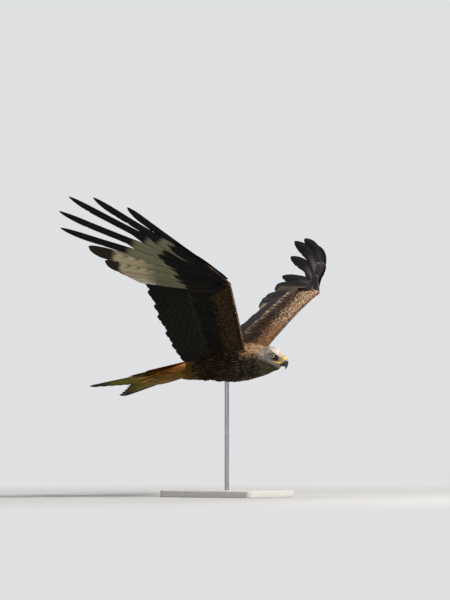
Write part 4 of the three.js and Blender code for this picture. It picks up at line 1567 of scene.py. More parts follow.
@dataclass
class Wing:
    """One wing: the curved sheet that its feathers lie on and the feathers in their tiers."""

    side: Side
    leading: Table
    trailing: Table
    spread: tuple[float, ...]
    rise: tuple[float, ...]
    bow: float
    seed: int
    finger_width: float = 1.0
    finger_vanes: tuple[float, float] = (10.5, 25.0)
    inner_vanes: tuple[float, float] = (13.0, 28.0)
    secondary_vanes: tuple[float, float] = (11.0, 19.0)
    front_length: float = 430.0
    window: tuple[float, ...] = (0, 0.41, 0.44, 0.51, 0.56, 0.8, 0.87, 0.93, 0.96, 0.97)

    def __post_init__(self) -> None:
        """Works out the curves and directions that the rest is measured on."""
        self.sign = self.side.value
        mirror = (1, self.sign, 1)
        self.front = np.array(self.leading, float) * mirror
        self.back = np.array(self.trailing, float) * mirror
        self.wrist = self.front[2]
        self.knuckle = self.wrist + self.heading(0.0) * HAND_LENGTH
        self.flat = self.square(self.heading(1.0), self.heading(6.0))
        self.outward = unit(self.heading(0.0) - self.heading(9.0))

    @staticmethod
    def square(a: Array, b: Array) -> Array:
        """Up, square to two directions on the wing."""
        normal = unit(np.cross(a, b))
        return normal * np.where(normal[..., 2:] < 0, -1, 1)

    def heading(self, number: float | Array) -> Array:
        """The direction in which a primary points."""
        ranks = np.arange(10)
        out = np.radians(np.interp(number, ranks, self.spread))
        up = np.radians(np.interp(number, ranks, self.rise))
        return np.stack([-np.sin(out) * np.cos(up), self.sign * np.cos(out) * np.cos(up), np.sin(up)], -1)

    def arm_up(self, s: float | Array) -> Array:
        """Up from the arm's sheet."""
        s = np.asarray(s, float)
        chord = bend(self.back, s) - bend(self.front, s)
        span = sum(bend(edge, s + 0.05) - bend(edge, s - 0.05) for edge in (self.front, self.back))
        return self.square(chord, span)

    def on_arm(self, s: Array, c: Array, h: Array | float = 0.0) -> Array:
        """A place on the arm.

        Args:
            s: The place outwards, from body to wrist.
            c: The place back, from leading to trailing edge.
            h: The height above the wing.

        Returns:
            The place.
        """
        s, c, h = np.broadcast_arrays(s, c, h)
        front, back = bend(self.front, s), bend(self.back, s)
        chord = np.linalg.norm(front - back, axis=-1)
        arch = CAMBER * chord * np.sin(math.pi * np.maximum(c, 0) ** 0.8)
        return blend(front, back, c[..., None]) + self.arm_up(s) * (arch + h)[..., None]

    def hand_up(self, number: float | Array) -> Array:
        """Up from a primary."""
        t = (np.asarray(number, float)[..., None] / 9) ** 1.5
        return unit(blend(self.flat, self.arm_up(1.0), t))

    def on_primary(self, number: Array, t: Array, h: Array | float = 0.0) -> Array:
        """A place along a primary.

        Args:
            number: The primary, from 0 outermost to 9.
            t: The place from its root to its tip.
            h: The height above it.

        Returns:
            The place.
        """
        number, t, h = np.broadcast_arrays(np.asarray(number, float), t, h)
        part = (number / 9)[..., None]
        heading, up = self.heading(number), self.hand_up(number)
        root = blend(self.knuckle, self.wrist, part) + heading * 6
        tip = self.wrist + heading * np.interp(number, np.arange(10), PRIMARY_LENGTHS)[..., None]
        length = np.linalg.norm(root - tip, axis=-1, keepdims=True)
        pull = (root + tip) / 2 + self.outward * self.bow * length * (1 - part) ** 1.5
        pull = pull - up * DROOP * length
        return bend(np.stack([root, pull, tip], -2), t) + up * h[..., None]

    def sheet(self, station: Array, b: float | Array, h: float | Array) -> Array:
        """A place over the fleshy front of the wing.

        Args:
            station: The place outwards, on the arm up to 1 and on the hand up to 2.
            b: The place back, 0 at the front edge and 1 at the rear edge of the flesh.
            h: The height above the sheet.

        Returns:
            The place.
        """
        station, b, h = np.broadcast_arrays(station, b, h)
        arm = self.on_arm(np.clip(station, 0, 1), CORE_CHORD * b, h)
        q = np.clip(station - 1, 0, 1)
        number = 9 * (1 - q)
        root = blend(self.knuckle, self.wrist, (1 - q)[..., None])
        back = blend(*HAND_CHORD, q) * b - HAND_FRONT * q
        hand = root + self.heading(number) * back[..., None] + self.hand_up(number) * h[..., None]
        return np.where((station <= 1)[..., None], arm, hand)

    @staticmethod
    def thickness(station: Array) -> Array:
        """Half the thickness of the flesh at a station."""
        arm = blend(CORE_ROOT, CORE_HALF, np.clip(station, 0, 1))
        return np.where(station <= 1, arm, blend(CORE_HALF, CORE_TIP, np.clip(station - 1, 0, 1)))

    def core_rings(self) -> Array:
        """Rings of the fleshy front of the wing, the first of them 28 mm inside the body."""
        station = np.concatenate([[0], np.linspace(0, 1, 13), np.linspace(1.08, 2, 9)])[:, None]
        cos, sin = circle(24)
        back = (1 - cos) / 2
        rings = self.sheet(station, back, sin * (1 - 0.45 * back) * self.thickness(station))
        rings[0, :, 1] -= self.sign * 28
        return rings

    def primaries(self) -> Piece:
        """The ten flight feathers of the hand, the outer five narrowed into fingers."""
        draws = np.random.default_rng(self.seed)
        along = np.concatenate([np.linspace(0, 0.75, 30), np.linspace(0.765, 1, 18)])
        number = np.arange(10.0)
        finger = (number < FINGERS)[:, None]
        lead = np.where(finger, vane_widths(along, self.finger_vanes[0], 0.3, 0.2, 0.84, 0.6),
                        vane_widths(along, self.inner_vanes[0], 0.3, 0.2, 0.84, 0.5))
        lead = lead * np.where(finger, blend(1, 0.78, along), 1)
        trail = np.where(finger, vane_widths(along, self.finger_vanes[1], 0.3, 0.2, 0.8, 0.62),
                         vane_widths(along, self.inner_vanes[1], 0.3, 0.2, 0.86, 0.5))
        if self.finger_width > 1:
            tip = np.clip(1 - np.clip((along - 0.7) / 0.3, 0, 1) ** 2, 0, 1) ** 0.62
            lead, trail = (np.where(finger, np.minimum(width, full * np.maximum(tip, 0.04)), width)
                           for width, full in zip((lead, trail), self.finger_vanes))
        notch = 0.36 + 0.03 * number[:, None]
        narrow = 1 - 0.36 * ease(along - notch, 0, 0.14)
        trail = trail * np.where(finger, np.minimum(narrow * self.finger_width, 1.1), 1)
        trail = trail * self.nicks(10, len(along), draws)
        return Vanes(self.on_primary(number[:, None], along), self.hand_up(number)[:, None],
                     self.outward, lead, trail, roll=7, arch=0.05, shaft=0.75, thick=0.18,
                     columns=self.columns(9), notes={"rank": number, "reach": np.array(self.window)},
                     draws=draws).build(f"wing_{self.side.label}_primaries")

    @staticmethod
    def columns(count: int) -> tuple[float, ...]:
        """Places across a vane, closer together at its shaft."""
        even = np.linspace(-1, 1, count)
        return tuple(np.sign(even) * np.abs(even) ** 1.35)

    @staticmethod
    def nicks(count: int, stations: int, draws: np.random.Generator) -> Array:
        """Small splits in the edges of vanes.

        Args:
            count: The count of feathers.
            stations: The count of places along each.
            draws: The source of the random draws.

        Returns:
            What is left of the width at each place, 1 where there is no split.
        """
        cut = np.ones((count, stations))
        for feather in range(count):
            for at in draws.integers(stations // 3, stations - 6, 2):
                cut[feather, at] = draws.uniform(0.84, 0.95)
        return cut

    def secondaries(self) -> Piece:
        """The flight feathers of the arm, uneven at their tips and a little shorter at the body."""
        draws = np.random.default_rng(self.seed + 1)
        number = np.arange(17)
        s = np.linspace(0.012, 0.975, len(number))
        along = np.concatenate([np.linspace(0, 0.78, 18), np.linspace(0.8, 1, 12)])
        reach = 1 + 0.018 * ((number * 7) % 5 - 2) / 2 - 0.02 * (s < 0.15)
        line = self.on_arm(s[:, None], blend(0.2, reach[:, None], along), 0.5 * along - 0.5)
        lead = vane_widths(along, self.secondary_vanes[0], 0.35, 0.2, 0.9, 0.42)
        trail = vane_widths(along, self.secondary_vanes[1], 0.35, 0.2, 0.88, 0.42)
        trail = trail * self.nicks(len(number), len(along), draws)
        return Vanes(line, self.arm_up(s)[:, None], (0, self.sign, 0), lead, trail, roll=5, arch=0.06,
                     shaft=0.6, thick=0.16, columns=self.columns(9), notes={"rank": 10.0 + number},
                     draws=draws).build(f"wing_{self.side.label}_secondaries")

    def coverts(self, row: Row) -> Vanes:
        """A row of coverts on the arm, or on the hand over the roots of the primaries.

        Args:
            row: The row.

        Returns:
            The feathers.
        """
        draws = np.random.default_rng(self.seed + row.salt)
        at = np.linspace(*row.span, row.count)
        along = np.linspace(0, 1, row.places) ** 0.85
        height = blend(*row.heights, along)
        if row.on_hand:
            reach = row.chord[1] * (1 + draws.uniform(-2.5, 2.5, row.count) * row.uneven)
            reach = reach + (0.13 if row.heights[0] < 0 else 0.0) * ease(at, 4, 9)
            chord = blend(row.chord[0], reach[:, None], along)
            line, up = self.on_primary(at[:, None], chord, height), self.hand_up(at)
            to_lead, wider, shaft, thick = self.outward, ease(at, 5, 9), 0.3, 0.14
        else:
            at = np.clip(at + draws.uniform(-0.2, 0.2, row.count) / row.count, 0, 1)
            reach = row.chord[1] * (1 + draws.uniform(-row.uneven, row.uneven, row.count))
            chord = blend(row.chord[0], reach[:, None], along)
            sway = 0.012 * draws.uniform(-1, 1, row.count)[:, None] * along
            line, up = self.on_arm(at[:, None] + sway, chord, height), self.arm_up(at)
            to_lead, wider, shaft, thick = (0, self.sign, 0), 0.0, 0.25, 0.12
        lead, trail = (vane_widths(along, full, 0.4, 0.25, 0.6, 0.5)
                       for full in (row.lead + 3 * wider, row.trail + 15 * wider))
        home = np.stack([at, np.full(row.count, row.chord[0])], -1)
        return Vanes(line, up[:, None], to_lead, lead, trail, roll=row.roll, arch=0.08, shaft=shaft,
                     thick=thick, columns=self.columns(row.columns), bake=home, draws=draws)

    def alula(self) -> Vanes:
        """The three short feathers on the front of the hand."""
        n, along = np.arange(3.0)[:, None, None], np.linspace(0, 1, 12)
        t, up = along[:, None], self.hand_up(1.0)
        line = (self.wrist + self.heading(0.0) * (10 + (122 - 26 * n) * t)
                + self.heading(9.0) * (3 + 7 * n - 3 * t) + up * (8 + 1.2 * n))
        lead, trail = (vane_widths(along, full, 0.4, 0.2, 0.6, 0.6) for full in (5.0, 12.0))
        return Vanes(line, up, self.outward, lead, trail, roll=4, arch=0.08, shaft=0.4, thick=0.15,
                     columns=self.columns(5), notes={"rank": np.full(3, 1.0)},
                     draws=np.random.default_rng(self.seed + 5))

    def on_cover(self, face: Face, station: Array, b: float | Array,
                 lift: float | Array = 0.0) -> Array:
        """A place on the small coverts, which follow the flesh and thin out past its rear edge.

        Args:
            face: The side of the wing.
            station: The place outwards, as in `sheet`.
            b: The place back, below 0 round on the other face.
            lift: The height above the coverts.

        Returns:
            The place.
        """
        back = np.abs(b)
        near = np.clip(back, 0, 0.5)
        round_front = np.sqrt(np.maximum(1 - (1 - 2 * near) ** 2, 0)) * (1 - 0.45 * near)
        past = np.clip(back - 0.5, 0, 1.2) * 0.17
        off = self.thickness(station) * (round_front - past)
        return self.sheet(station, back, np.where(b < 0, -1, 1) * face.value * (off + lift))

    def small_coverts(self, face: Face) -> Vanes:
        """Marginal, lesser and median coverts, in rows from the front edge of arm and hand back.

        Args:
            face: The side of the wing.

        Returns:
            The feathers, with the place of their row and of themselves in it as notes.
        """
        draws = np.random.default_rng(self.seed + 40 + face.value)
        spots = []
        for k, (start, length, width) in enumerate(SMALL_ROWS if face is Face.UPPER else SMALL_ROWS[2:]):
            count = int(self.front_length / (width * 0.6))
            turns = np.arange(count) + 0.5 * (k % 2) + draws.uniform(-0.25, 0.25, count)
            station = 0.04 + 1.93 * (turns / count)
            size = blend(1, 0.6, ease(station, 1.0, 1.95)) * draws.uniform(0.88, 1.12, count)
            root = start + draws.uniform(-0.02, 0.02, count)
            spots.append([station, root, length * size, width * size, np.full(count, start)])
        station, root, length, width, band = np.concatenate(spots, 1)
        across = bend(self.front - self.back, np.clip(station, 0, 1))
        chord = np.where(station <= 1, CORE_CHORD * np.linalg.norm(across, axis=-1),
                         blend(*HAND_CHORD, np.clip(station - 1, 0, 1)))
        places = np.array([0, 0.2, 0.42, 0.66, 0.86, 1.0])
        at = station[:, None] + np.zeros_like(places)
        back = root[:, None] + (length / chord)[:, None] * places
        lift = blend(1.2, 2.6, np.clip(band, 0, 1))[:, None] * places**0.9 - 0.3
        line = self.on_cover(face, at, back, lift)
        fore = self.on_cover(face, at, back + 0.03) - self.on_cover(face, at, back - 0.03)
        out = self.on_cover(face, at + 0.01, back) - self.on_cover(face, at - 0.01, back)
        level = self.sheet(at, 0.5, face.value) - self.sheet(at, 0.5, 0.0)
        middle = np.cross(self.on_cover(face, at, 0.53) - self.on_cover(face, at, 0.47), out)
        normal = unit(np.cross(fore, out)) * np.sign(dot(middle, level))
        aside = np.cross(normal, unit(np.gradient(line, axis=1))).mean(1)
        widths = vane_widths(places, width / 2, 0.5, 0.35, 0.5, 0.5)
        return Vanes(line, normal, aside, widths, widths, arch=0.14, shaft=0.18, thick=0.1,
                     columns=(-1.0, -0.5, 0.0, 0.5, 1.0), notes={"band": band, "station": station},
                     bake=np.stack([station, band], -1), draws=draws)

    def build(self, coverts: dict[str, Material], quills: Material) -> None:
        """Makes the wing's pieces.

        Args:
            coverts: The coverts' materials by their finish's name.
            quills: The flight feathers' material.
        """
        name = f"wing_{self.side.label}"
        hand_over(self.primaries(), quills, (f"{name}_arm", f"{name}_hand"))
        hand_over(self.secondaries(), quills)
        hand_over(self.alula().build(f"{name}_alula"), quills)
        rows = [(row.name, row.finish, self.coverts(row)) for row in ROWS]
        rows += [(face.row, face.row, self.small_coverts(face)) for face in Face]
        for row, finish, vanes in rows:
            hand_over(vanes.build(f"{name}_{row}"), coverts[finish])


# The start, length and width of each row of small coverts; the start is 0 at the front edge of
# the flesh and 1 at its rear edge

SMALL_ROWS: Table = ((-0.05, 11, 7), (-0.01, 12, 8), (0.02, 14, 9), (0.06, 17, 10.5), (0.12, 20, 12),
                     (0.19, 23, 13), (0.27, 26, 14), (0.36, 29, 15), (0.46, 33, 16.5), (0.58, 37, 18),
                     (0.72, 42, 20), (0.88, 48, 22))
ROWS = (
    Row("greater_upper", 10, False, 18, (0.02, 1), (0.2, 0.6), 11, 19, (2.4, 3.6), 4, 12, 7,
        "greater_upper"),
    Row("greater_under", 11, False, 18, (0.02, 1), (0.2, 0.57), 11, 19, (-2.4, -3.4), 4, 12, 7,
        "greater_under"),
    Row("primary_coverts_upper", 20, True, 12, (0.2, 9), (0.02, 0.36), 9, 15, (3, 3.4), 6, 12, 5,
        "greater_upper"),
    Row("primary_coverts_under", 21, True, 12, (0.2, 9), (0.02, 0.345), 9, 15, (-3.4, -4.2), 6, 12, 5,
        "carpal"),
)
COVERTS = (
    # Hearts of dark brown with a painted purple sheen
    CovertFinish("greater_upper", heart=BROWN_WITH_PAINTED_PURPLE_SHEEN, fringe=(0.36, 0.28, 0.27), tip=CREAM,
                 heart_half=0.34, fringed=0.55, roughness=0.5),
    CovertFinish("greater_under", heart=SLATE, fringe=(0.020, 0.018, 0.011), tip=(0.030, 0.027, 0.017),
                 heart_half=0.3),
    CovertFinish("carpal", heart=BLACK, fringe=(0.014, 0.011, 0.007), tip=(0.018, 0.014, 0.009),
                 heart_half=0.22, fringed=0.85),
    *(SmallCoverts(face.row, face=face) for face in Face),
)


# Tail


@dataclass
class Tail:
    """The forked tail: six pairs of feathers over the fleshy root, with its coverts."""

    seed: int = 61

    @staticmethod
    def turn(points: Array) -> Array:
        """Raises the tail's right edge about its root."""
        return (points - TAIL_ROOT) @ turn_about((1, 0, 0), -TAIL_TILT).T + TAIL_ROOT

    def up(self) -> Array:
        """Up from the tail."""
        return self.turn(np.array([0, 0, 1.0]) + TAIL_ROOT) - TAIL_ROOT

    def on_tail(self, k: Array, t: Array, h: Array | float = 0.0) -> Array:
        """A place along a tail feather.

        Args:
            k: The feather, from -1 at the right edge to 1 at the left.
            t: The place from its root to its tip.
            h: The height above it.

        Returns:
            The place.
        """
        k, t, h = np.broadcast_arrays(np.asarray(k, float), t, h)
        part, zero = np.abs(k), np.zeros_like(k)
        root = np.stack([zero + TAIL_ROOT[0], TAIL_ROOT_HALF * k, zero + TAIL_ROOT[2]], -1)
        tip = np.stack([blend(TAIL_CENTRE[0], TAIL_OUTER[0], part**1.25), TAIL_OUTER[1] * k,
                        blend(TAIL_CENTRE[2], TAIL_OUTER[2], part)], -1)
        pull = blend(root, tip, 0.45) + np.stack([zero, 9 * k, zero], -1)
        point = bend(np.stack([root, pull, tip], -2), t) + np.stack([zero, zero, h], -1)
        return self.turn(point)

    def core_rings(self) -> Array:
        """Rings of the fleshy root of the tail."""
        cos, sin = circle(24)
        rings = []
        for ahead, top, bottom, half in even_rows(TAIL_CORE, 13):
            middle = blend(bottom, top, 0.48)
            height = np.where(sin > 0, top - middle, middle - bottom)
            rings.append(np.stack([np.full(24, ahead), half * cos, middle + height * sin], -1))
        return self.turn(np.array(rings))

    @staticmethod
    def pairs(count: int) -> tuple[Array, Array, Array]:
        """For pairs of feathers, their numbers from the middle out, sides and places across."""
        number, side = np.repeat(np.arange(float(count)), 2), np.tile([-1.0, 1.0], count)
        return number, side, side * (number + 0.5) / count

    def feathers(self) -> Vanes:
        """The twelve long feathers, each pair outward lying under the one before it."""
        number, side, k = self.pairs(6)
        along = np.concatenate([np.linspace(0, 0.8, 26), np.linspace(0.815, 1, 16)])
        draws = np.random.default_rng(self.seed)
        line = self.on_tail(k[:, None], along, 1.1 * (5 - number)[:, None])
        lead = vane_widths(along, 11.5, 0.3, 0.25, 0.93, 0.36)
        trail = vane_widths(along, 18.0, 0.3, 0.25, 0.93, 0.34) * Wing.nicks(12, len(along), draws)
        return Vanes(line, self.up(), side[:, None] * (0, 1, 0), lead, trail, arch=0.04, shaft=0.6,
                     thick=0.16, columns=Wing.columns(9),
                     notes={"rank": number, "side": side * 0.5 + 0.5}, draws=draws)

    def coverts(self, name: str, pairs: int, reach: float, heights: tuple[float, float], step: float,
                width: float) -> Vanes:
        """A row of coverts over or under the roots of the long feathers.

        Args:
            name: The row's name, whose length seeds its draws.
            pairs: The count of pairs.
            reach: How far its tips come along the long feathers.
            heights: The height above the long feathers at root and tip.
            step: How much higher each pair lies than the next one outwards.
            width: The half width of a feather.

        Returns:
            The feathers.
        """
        number, side, k = self.pairs(pairs)
        along = np.linspace(0, 1, 12)
        draws = np.random.default_rng(self.seed + len(name))
        raised = (step * (pairs - 1 - number))[:, None] + blend(*heights, along)
        part = reach * (1 + draws.uniform(-0.05, 0.05, 2 * pairs))
        line = self.on_tail(k[:, None] * 0.92, part[:, None] * along, raised)
        lead, trail = (vane_widths(along, full, 0.5, 0.3, 0.7, 0.5) for full in (width * 0.9, width))
        return Vanes(line, self.up(), side[:, None] * (0, 1, 0), lead, trail, arch=0.08, shaft=0.3,
                     thick=0.14, columns=Wing.columns(7),
                     notes={"rank": number, "side": side * 0.5 + 0.5}, draws=draws)

    def build(self) -> None:
        """Makes the tail's pieces."""
        quills = TailFinish().dress()
        upper = CovertFinish("tail_coverts", heart=(0.20, 0.075, 0.02), fringe=TAIL_RUFOUS,
                             tip=TAIL_RUFOUS, heart_half=0.1, fringed=0.95).dress()
        under = CovertFinish("vent_coverts", heart=(0.19, 0.105, 0.012), fringe=(0.26, 0.15, 0.020),
                             tip=(0.24, 0.14, 0.03), heart_half=0.12, fringed=0.8).dress()
        hand_over(self.feathers().build("tail_quills"), quills, ("tail",))
        for name, pairs, reach, heights, step, width in (
            ("tail_coverts_upper", 5, 0.70, (12.0, 6.0), 0.9, 13.0),
            ("tail_coverts_upper_front", 5, 0.52, (15.0, 10.0), 0.9, 13.0),
            ("tail_coverts_under", 4, 0.62, (-11.0, -4.0), -0.7, 14.0),
        ):
            made = self.coverts(name, pairs, reach, heights, step, width).build(name)
            hand_over(made, upper if "upper" in name else under)


# Head


@dataclass
class Mask:
    """The bare parts of the head: eyes, lids, cere, bill and the edges of the mouth."""

    hide: Hide
    rings: int = 40
    around: int = 40
    lid_radius: float = 6.4
    nostril: tuple[float, float, float] = (1.4, 9.2, 4.0)

    def bill_rings(self, table: Table, keel: float = 0.0) -> Array:
        """Smooth rings down a piece of the bill, with a soft ridge on top.

        Args:
            table: The places ahead and up, half heights and half widths of its sections.
            keel: The height of the ridge, as a part of the half height.

        Returns:
            The rings.
        """
        knots = np.array(table, float)
        ends = np.concatenate([2 * knots[:1] - knots[1:2], knots, 2 * knots[-1:] - knots[-2:-1]])
        line = through(ends, self.rings // (len(knots) - 1))
        line[:, 2:] = np.maximum(line[:, 2:], 0.25)
        along = unit(np.gradient(line[:, :2], axis=0))
        cos, sin = circle(self.around)
        x, z, height, width = (line[:, k, None] for k in range(4))
        rise = height * sin + keel * height * np.maximum(sin, 0) ** 8
        return from_head(np.stack([x - along[:, 1:] * rise, width * cos, z + along[:, :1] * rise], -1))

    def eyeball(self, side: Side) -> Piece:
        """A smooth eyeball with a slight bulge over the iris.

        Args:
            side: The side of the head.

        Returns:
            The eyeball.
        """
        centre = np.array(EYE) * (1, side.value, 1)
        place = STANCE.place(from_head(centre)[None])[0]
        bpy.ops.mesh.primitive_uv_sphere_add(segments=48, ring_count=32, radius=EYE_RADIUS * MM,
                                             location=place)
        piece = bpy.context.object
        settle(piece)
        points = points_on_head(piece)
        axis = unit(np.array([0.16, side.value, 0.02]))
        out = points - centre
        level = (out @ axis)[:, None]
        off = np.linalg.norm(out - level * axis, axis=1)
        off = np.where(level[:, 0] > 0, off, 20)
        bulge = np.exp(-((off / 4.6) ** 2)) * 0.35
        set_on_head(piece, points + axis * bulge[:, None])
        give(piece, "off", off)
        return self.finished(piece, f"eyeball_{side.label}", 180)

    def lids(self, side: Side) -> Piece:
        """A thick ring of bare skin round the eye, drawn in to an almond.

        Args:
            side: The side of the head.

        Returns:
            The ring.
        """
        bpy.ops.mesh.primitive_torus_add(major_segments=56, minor_segments=14,
                                         major_radius=self.lid_radius, minor_radius=1.15)
        piece = bpy.context.object
        ring = points_of(piece)
        angle = np.arctan2(ring[:, 1], ring[:, 0])
        crease = 1 + 0.10 * np.sin(angle * 17) * (ring[:, 2] > 0)
        x = ring[:, 0] * 1.06
        z = ring[:, 1] * blend(0.97, 0.84, (ring[:, 1] > 0) * 1.0)
        radial = np.hypot(ring[:, 0], ring[:, 1]) - self.lid_radius
        y = ring[:, 2] * 0.85 * crease - 0.35 * radial
        centre = np.array(EYE) * (1, side.value, 1) + (0.9, side.value * 4.6, 0.0)
        lean = -0.16 * side.value
        points = np.stack([x, y * side.value + x * lean, z], -1) + centre
        set_on_head(piece, points)
        turn_outwards(piece)
        return self.finished(piece, f"lids_{side.label}", 70)

    def gape(self, name: str, side: Side, drop: float, thick: float) -> Piece:
        """A slim roll along the edge of the mouth, from the bill back under the eye.

        Args:
            name: The piece's name, without its side.
            side: The side of the head.
            drop: How far it lies below the mouth's line.
            thick: Its radius.

        Returns:
            The piece.
        """
        (x0, z0), (x1, z1) = MOUTH
        t = np.linspace(-0.12, 1, 30)
        x, z = blend(x0, x1, t), blend(z0, z1, t) - 1.2 * np.sin(math.pi * np.clip(t, 0, 1)) - drop
        aside = []
        for ahead, above in zip(x, z):
            reach = [7.4]
            for step in (-2.5, 0, 2.5):
                start = from_head(np.array([ahead, side.value * 40.0, above + step]))
                place, _, _, _ = self.hide.tree.ray_cast(Vector(start), Vector((0, -side.value, 0)), 40)
                reach.append(0 if place is None else min(abs(place.y), 18.5))
            aside.append(max(reach) + 0.7)
        aside = np.convolve(np.pad(aside, 1, mode="edge"), np.ones(3) / 3, "valid")
        radius = thick * (1 - np.clip((t - 0.75) / 0.27, 0, 1) ** 2) ** 0.5 * blend(1.45, 0.9, t) + 0.1
        cos, sin = circle(12)
        rings = np.stack([
            x[:, None] + 0 * cos,
            side.value * (aside[:, None] + radius[:, None] * (0.9 * cos + 0.15)),
            z[:, None] + radius[:, None] * sin,
        ], -1)
        return self.finished(loft("roll", from_head(rings)), f"{name}_{side.label}")

    @staticmethod
    def finished(piece: Piece, name: str, degrees: float = 60.0) -> Piece:
        """Names and smooths a piece and notes its places in the head's frame."""
        piece.name = name
        give(piece, "place", points_on_head(piece))
        smooth(piece, degrees)
        return piece

    def build(self) -> None:
        """Makes the head's bare parts."""
        horn, wax, eye = HornFinish().dress(), CereFinish().dress(), EyeFinish().dress()
        rim = PlainFinish("lid_skin", (0.035, 0.026, 0.012), (0.012, 0.009, 0.005), 0.5, 900.0,
                          depth=0.0002).dress()
        upper = self.finished(loft("horn", self.bill_rings(UPPER_BILL, keel=0.06)), "bill_upper")
        hand_over(upper, horn, ("upper_bill",))
        lower = self.finished(loft("horn", self.bill_rings(LOWER_BILL)), "bill_lower")
        hand_over(lower, horn, ("lower_bill",))
        cere = loft("wax", self.bill_rings(CERE))
        self.pierce(cere)
        hand_over(self.finished(cere, "cere_wax"), wax, ("cere",))
        for side in Side:
            hand_over(self.eyeball(side), eye, (f"eye_{side.label}",))
            hand_over(self.lids(side), rim)
            hand_over(self.gape("gape", side, 0.0, 1.5), wax)
            hand_over(self.gape("mouth_line", side, 2.0, 0.5), horn)

    def pierce(self, cere: Piece) -> None:
        """Presses the two nostrils into the cere.

        Args:
            cere: The cere.
        """
        points = points_on_head(cere)
        for side in Side:
            off = points - np.array(self.nostril) * (1, side.value, 1)
            long, wide = off[:, 0] + off[:, 2] * 0.4, off[:, 2] - off[:, 0] * 0.4
            reach = (long / 2.6) ** 2 + (wide / 1.3) ** 2
            near = (points[:, 1] * side.value > 0) * np.clip(1 - reach, 0, 1) ** 0.6
            points[:, 1] -= side.value * near * 2.6
        set_on_head(cere, points)


# Feet


@dataclass
class Foot:
    """A folded foot: shank, three toes and their claws, tucked among the belly feathers."""

    side: Side
    aside: float = 13.5
    level: float = -32.8
    heel: float = -52.0
    ball: float = -90.0
    claws: float = -122.0

    @staticmethod
    def tube(line: list, radii: tuple[float, ...], around: int = 14, scutes: float = 0.0) -> Array:
        """Rings round a smooth line, ringed with low scutes.

        Args:
            line: The points that the line rounds off.
            radii: The radius at each.
            around: The count of points round a ring.
            scutes: How far the scutes stand off, as a part of the radius.

        Returns:
            The rings.
        """
        marks = np.arange(len(line))
        t = np.linspace(0, marks[-1], 8 * marks[-1] + 1)
        fine = between(line, marks, t)
        for _ in range(6):
            fine[1:-1] = (fine[:-2] + 2 * fine[1:-1] + fine[2:]) / 4
        radius = np.interp(t, marks, radii) * (1 + scutes * np.abs(np.sin(t * 7)))
        along = unit(np.gradient(fine, axis=0))
        across = unit(np.cross((0, 0, 1), along))
        upward = np.cross(along, across)
        cos, sin = (v[:, None] for v in circle(around))
        return fine[:, None] + radius[:, None, None] * (across[:, None] * cos + upward[:, None] * sin)

    def build(self, scales: Material, horn: Material) -> None:
        """Makes the foot and its claws.

        Args:
            scales: The skin's material.
            horn: The claws' material.
        """
        name, y, level = self.side.label, self.side.value * self.aside, self.level
        shank = [(self.heel - 0.5, y * 1.1, -37.0), (self.ball, y, level + 1)]
        toes = [loft("shank", self.tube(shank, (3.1, 3.5), scutes=0.09))]
        tips = []
        for spread in (-5.2, 0.0, 5.2):
            toe = [(self.ball + 3, y + spread * 0.3, level + 1), (self.ball - 9, y + spread, level + 0.5),
                   (self.claws + 9, y + spread * 0.9, level)]
            claw = [(self.claws + 10, y + spread * 0.9, level),
                    (self.claws + 2, y + spread * 0.8, level - 0.6),
                    (self.claws - 2, y + spread * 0.75, level - 5)]
            toes.append(loft("toe", self.tube(toe, (2.8, 2.5, 2.1), scutes=0.09)))
            tips.append(loft("claw", self.tube(claw, (1.9, 1.5, 0.25))))
        foot = join(f"foot_skin_{name}", toes)
        smooth(foot, 60)
        hand_over(foot, scales, (f"foot_{name}",))
        talons = join(f"talons_{name}", tips)
        smooth(talons, 60)
        give(talons, "place", STANCE.read(points_of(talons)) * (0, 0, 1))
        hand_over(talons, horn)


# Stand


@dataclass
class Stand:
    """The flat base and the rod that carries the bird."""

    edge: float = 0.0022
    corner: float = 0.016
    chamfer: float = 0.001

    def base(self) -> Piece:
        """A slab with round corners and soft edges."""
        low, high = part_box("stand_base")
        size, middle = high - low, (low + high) / 2
        bpy.ops.mesh.primitive_cube_add(size=1, location=middle, scale=size)
        piece = bpy.context.object
        settle(piece)
        bpy.ops.object.mode_set(mode="EDIT")
        bpy.ops.mesh.select_mode(type="EDGE")
        bpy.ops.mesh.select_all(action="DESELECT")
        bpy.ops.object.mode_set(mode="OBJECT")
        for edge in piece.data.edges:
            a, b = (piece.data.vertices[v].co for v in edge.vertices)
            edge.select = abs(a.z - b.z) > size.z / 2
        bpy.ops.object.mode_set(mode="EDIT")
        bpy.ops.mesh.bevel(offset=self.corner, segments=12, affect="EDGES")
        bpy.ops.object.mode_set(mode="OBJECT")
        soft = piece.modifiers.new("edges", "BEVEL")
        soft.width, soft.segments, soft.limit_method, soft.angle_limit = self.edge, 4, "ANGLE", 1.0
        apply_all(piece)
        smooth(piece, 40)
        return piece

    def rod(self) -> Piece:
        """A turned rod with a chamfer at its top."""
        low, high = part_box("stand_rod")
        radius = (high.x - low.x) / 2
        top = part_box("stand_base")[1].z
        profile = ((radius, low.z), (radius, top + 0.0002), (radius, top + 0.004),
                   (radius, high.z - self.chamfer), (radius - self.chamfer, high.z))
        middle = (low + high) / 2
        cos, sin = circle(48)
        rings = [np.column_stack([middle.x + r * cos, middle.y + r * sin, np.full(48, z)])
                 for r, z in profile]
        piece = loft("rod_steel", STANCE.read(np.array(rings)))
        smooth(piece, 40)
        return piece

    def build(self) -> None:
        """Makes the stand's pieces."""
        paint = PlainFinish("stand_paint", (0.62, 0.60, 0.57), (0.56, 0.545, 0.52), 0.5, 900.0,
                            depth=0.00004)
        steel = PlainFinish("stand_steel", (0.52, 0.53, 0.55), (0.45, 0.46, 0.48), 0.34, 500.0,
                            metallic=1.0, depth=0.00002)
        base = self.base()
        base.name = "base_slab"
        hand_over(base, paint.dress(), ("stand_base",))
        hand_over(self.rod(), steel.dress(), ("stand_rod",))


# Stage


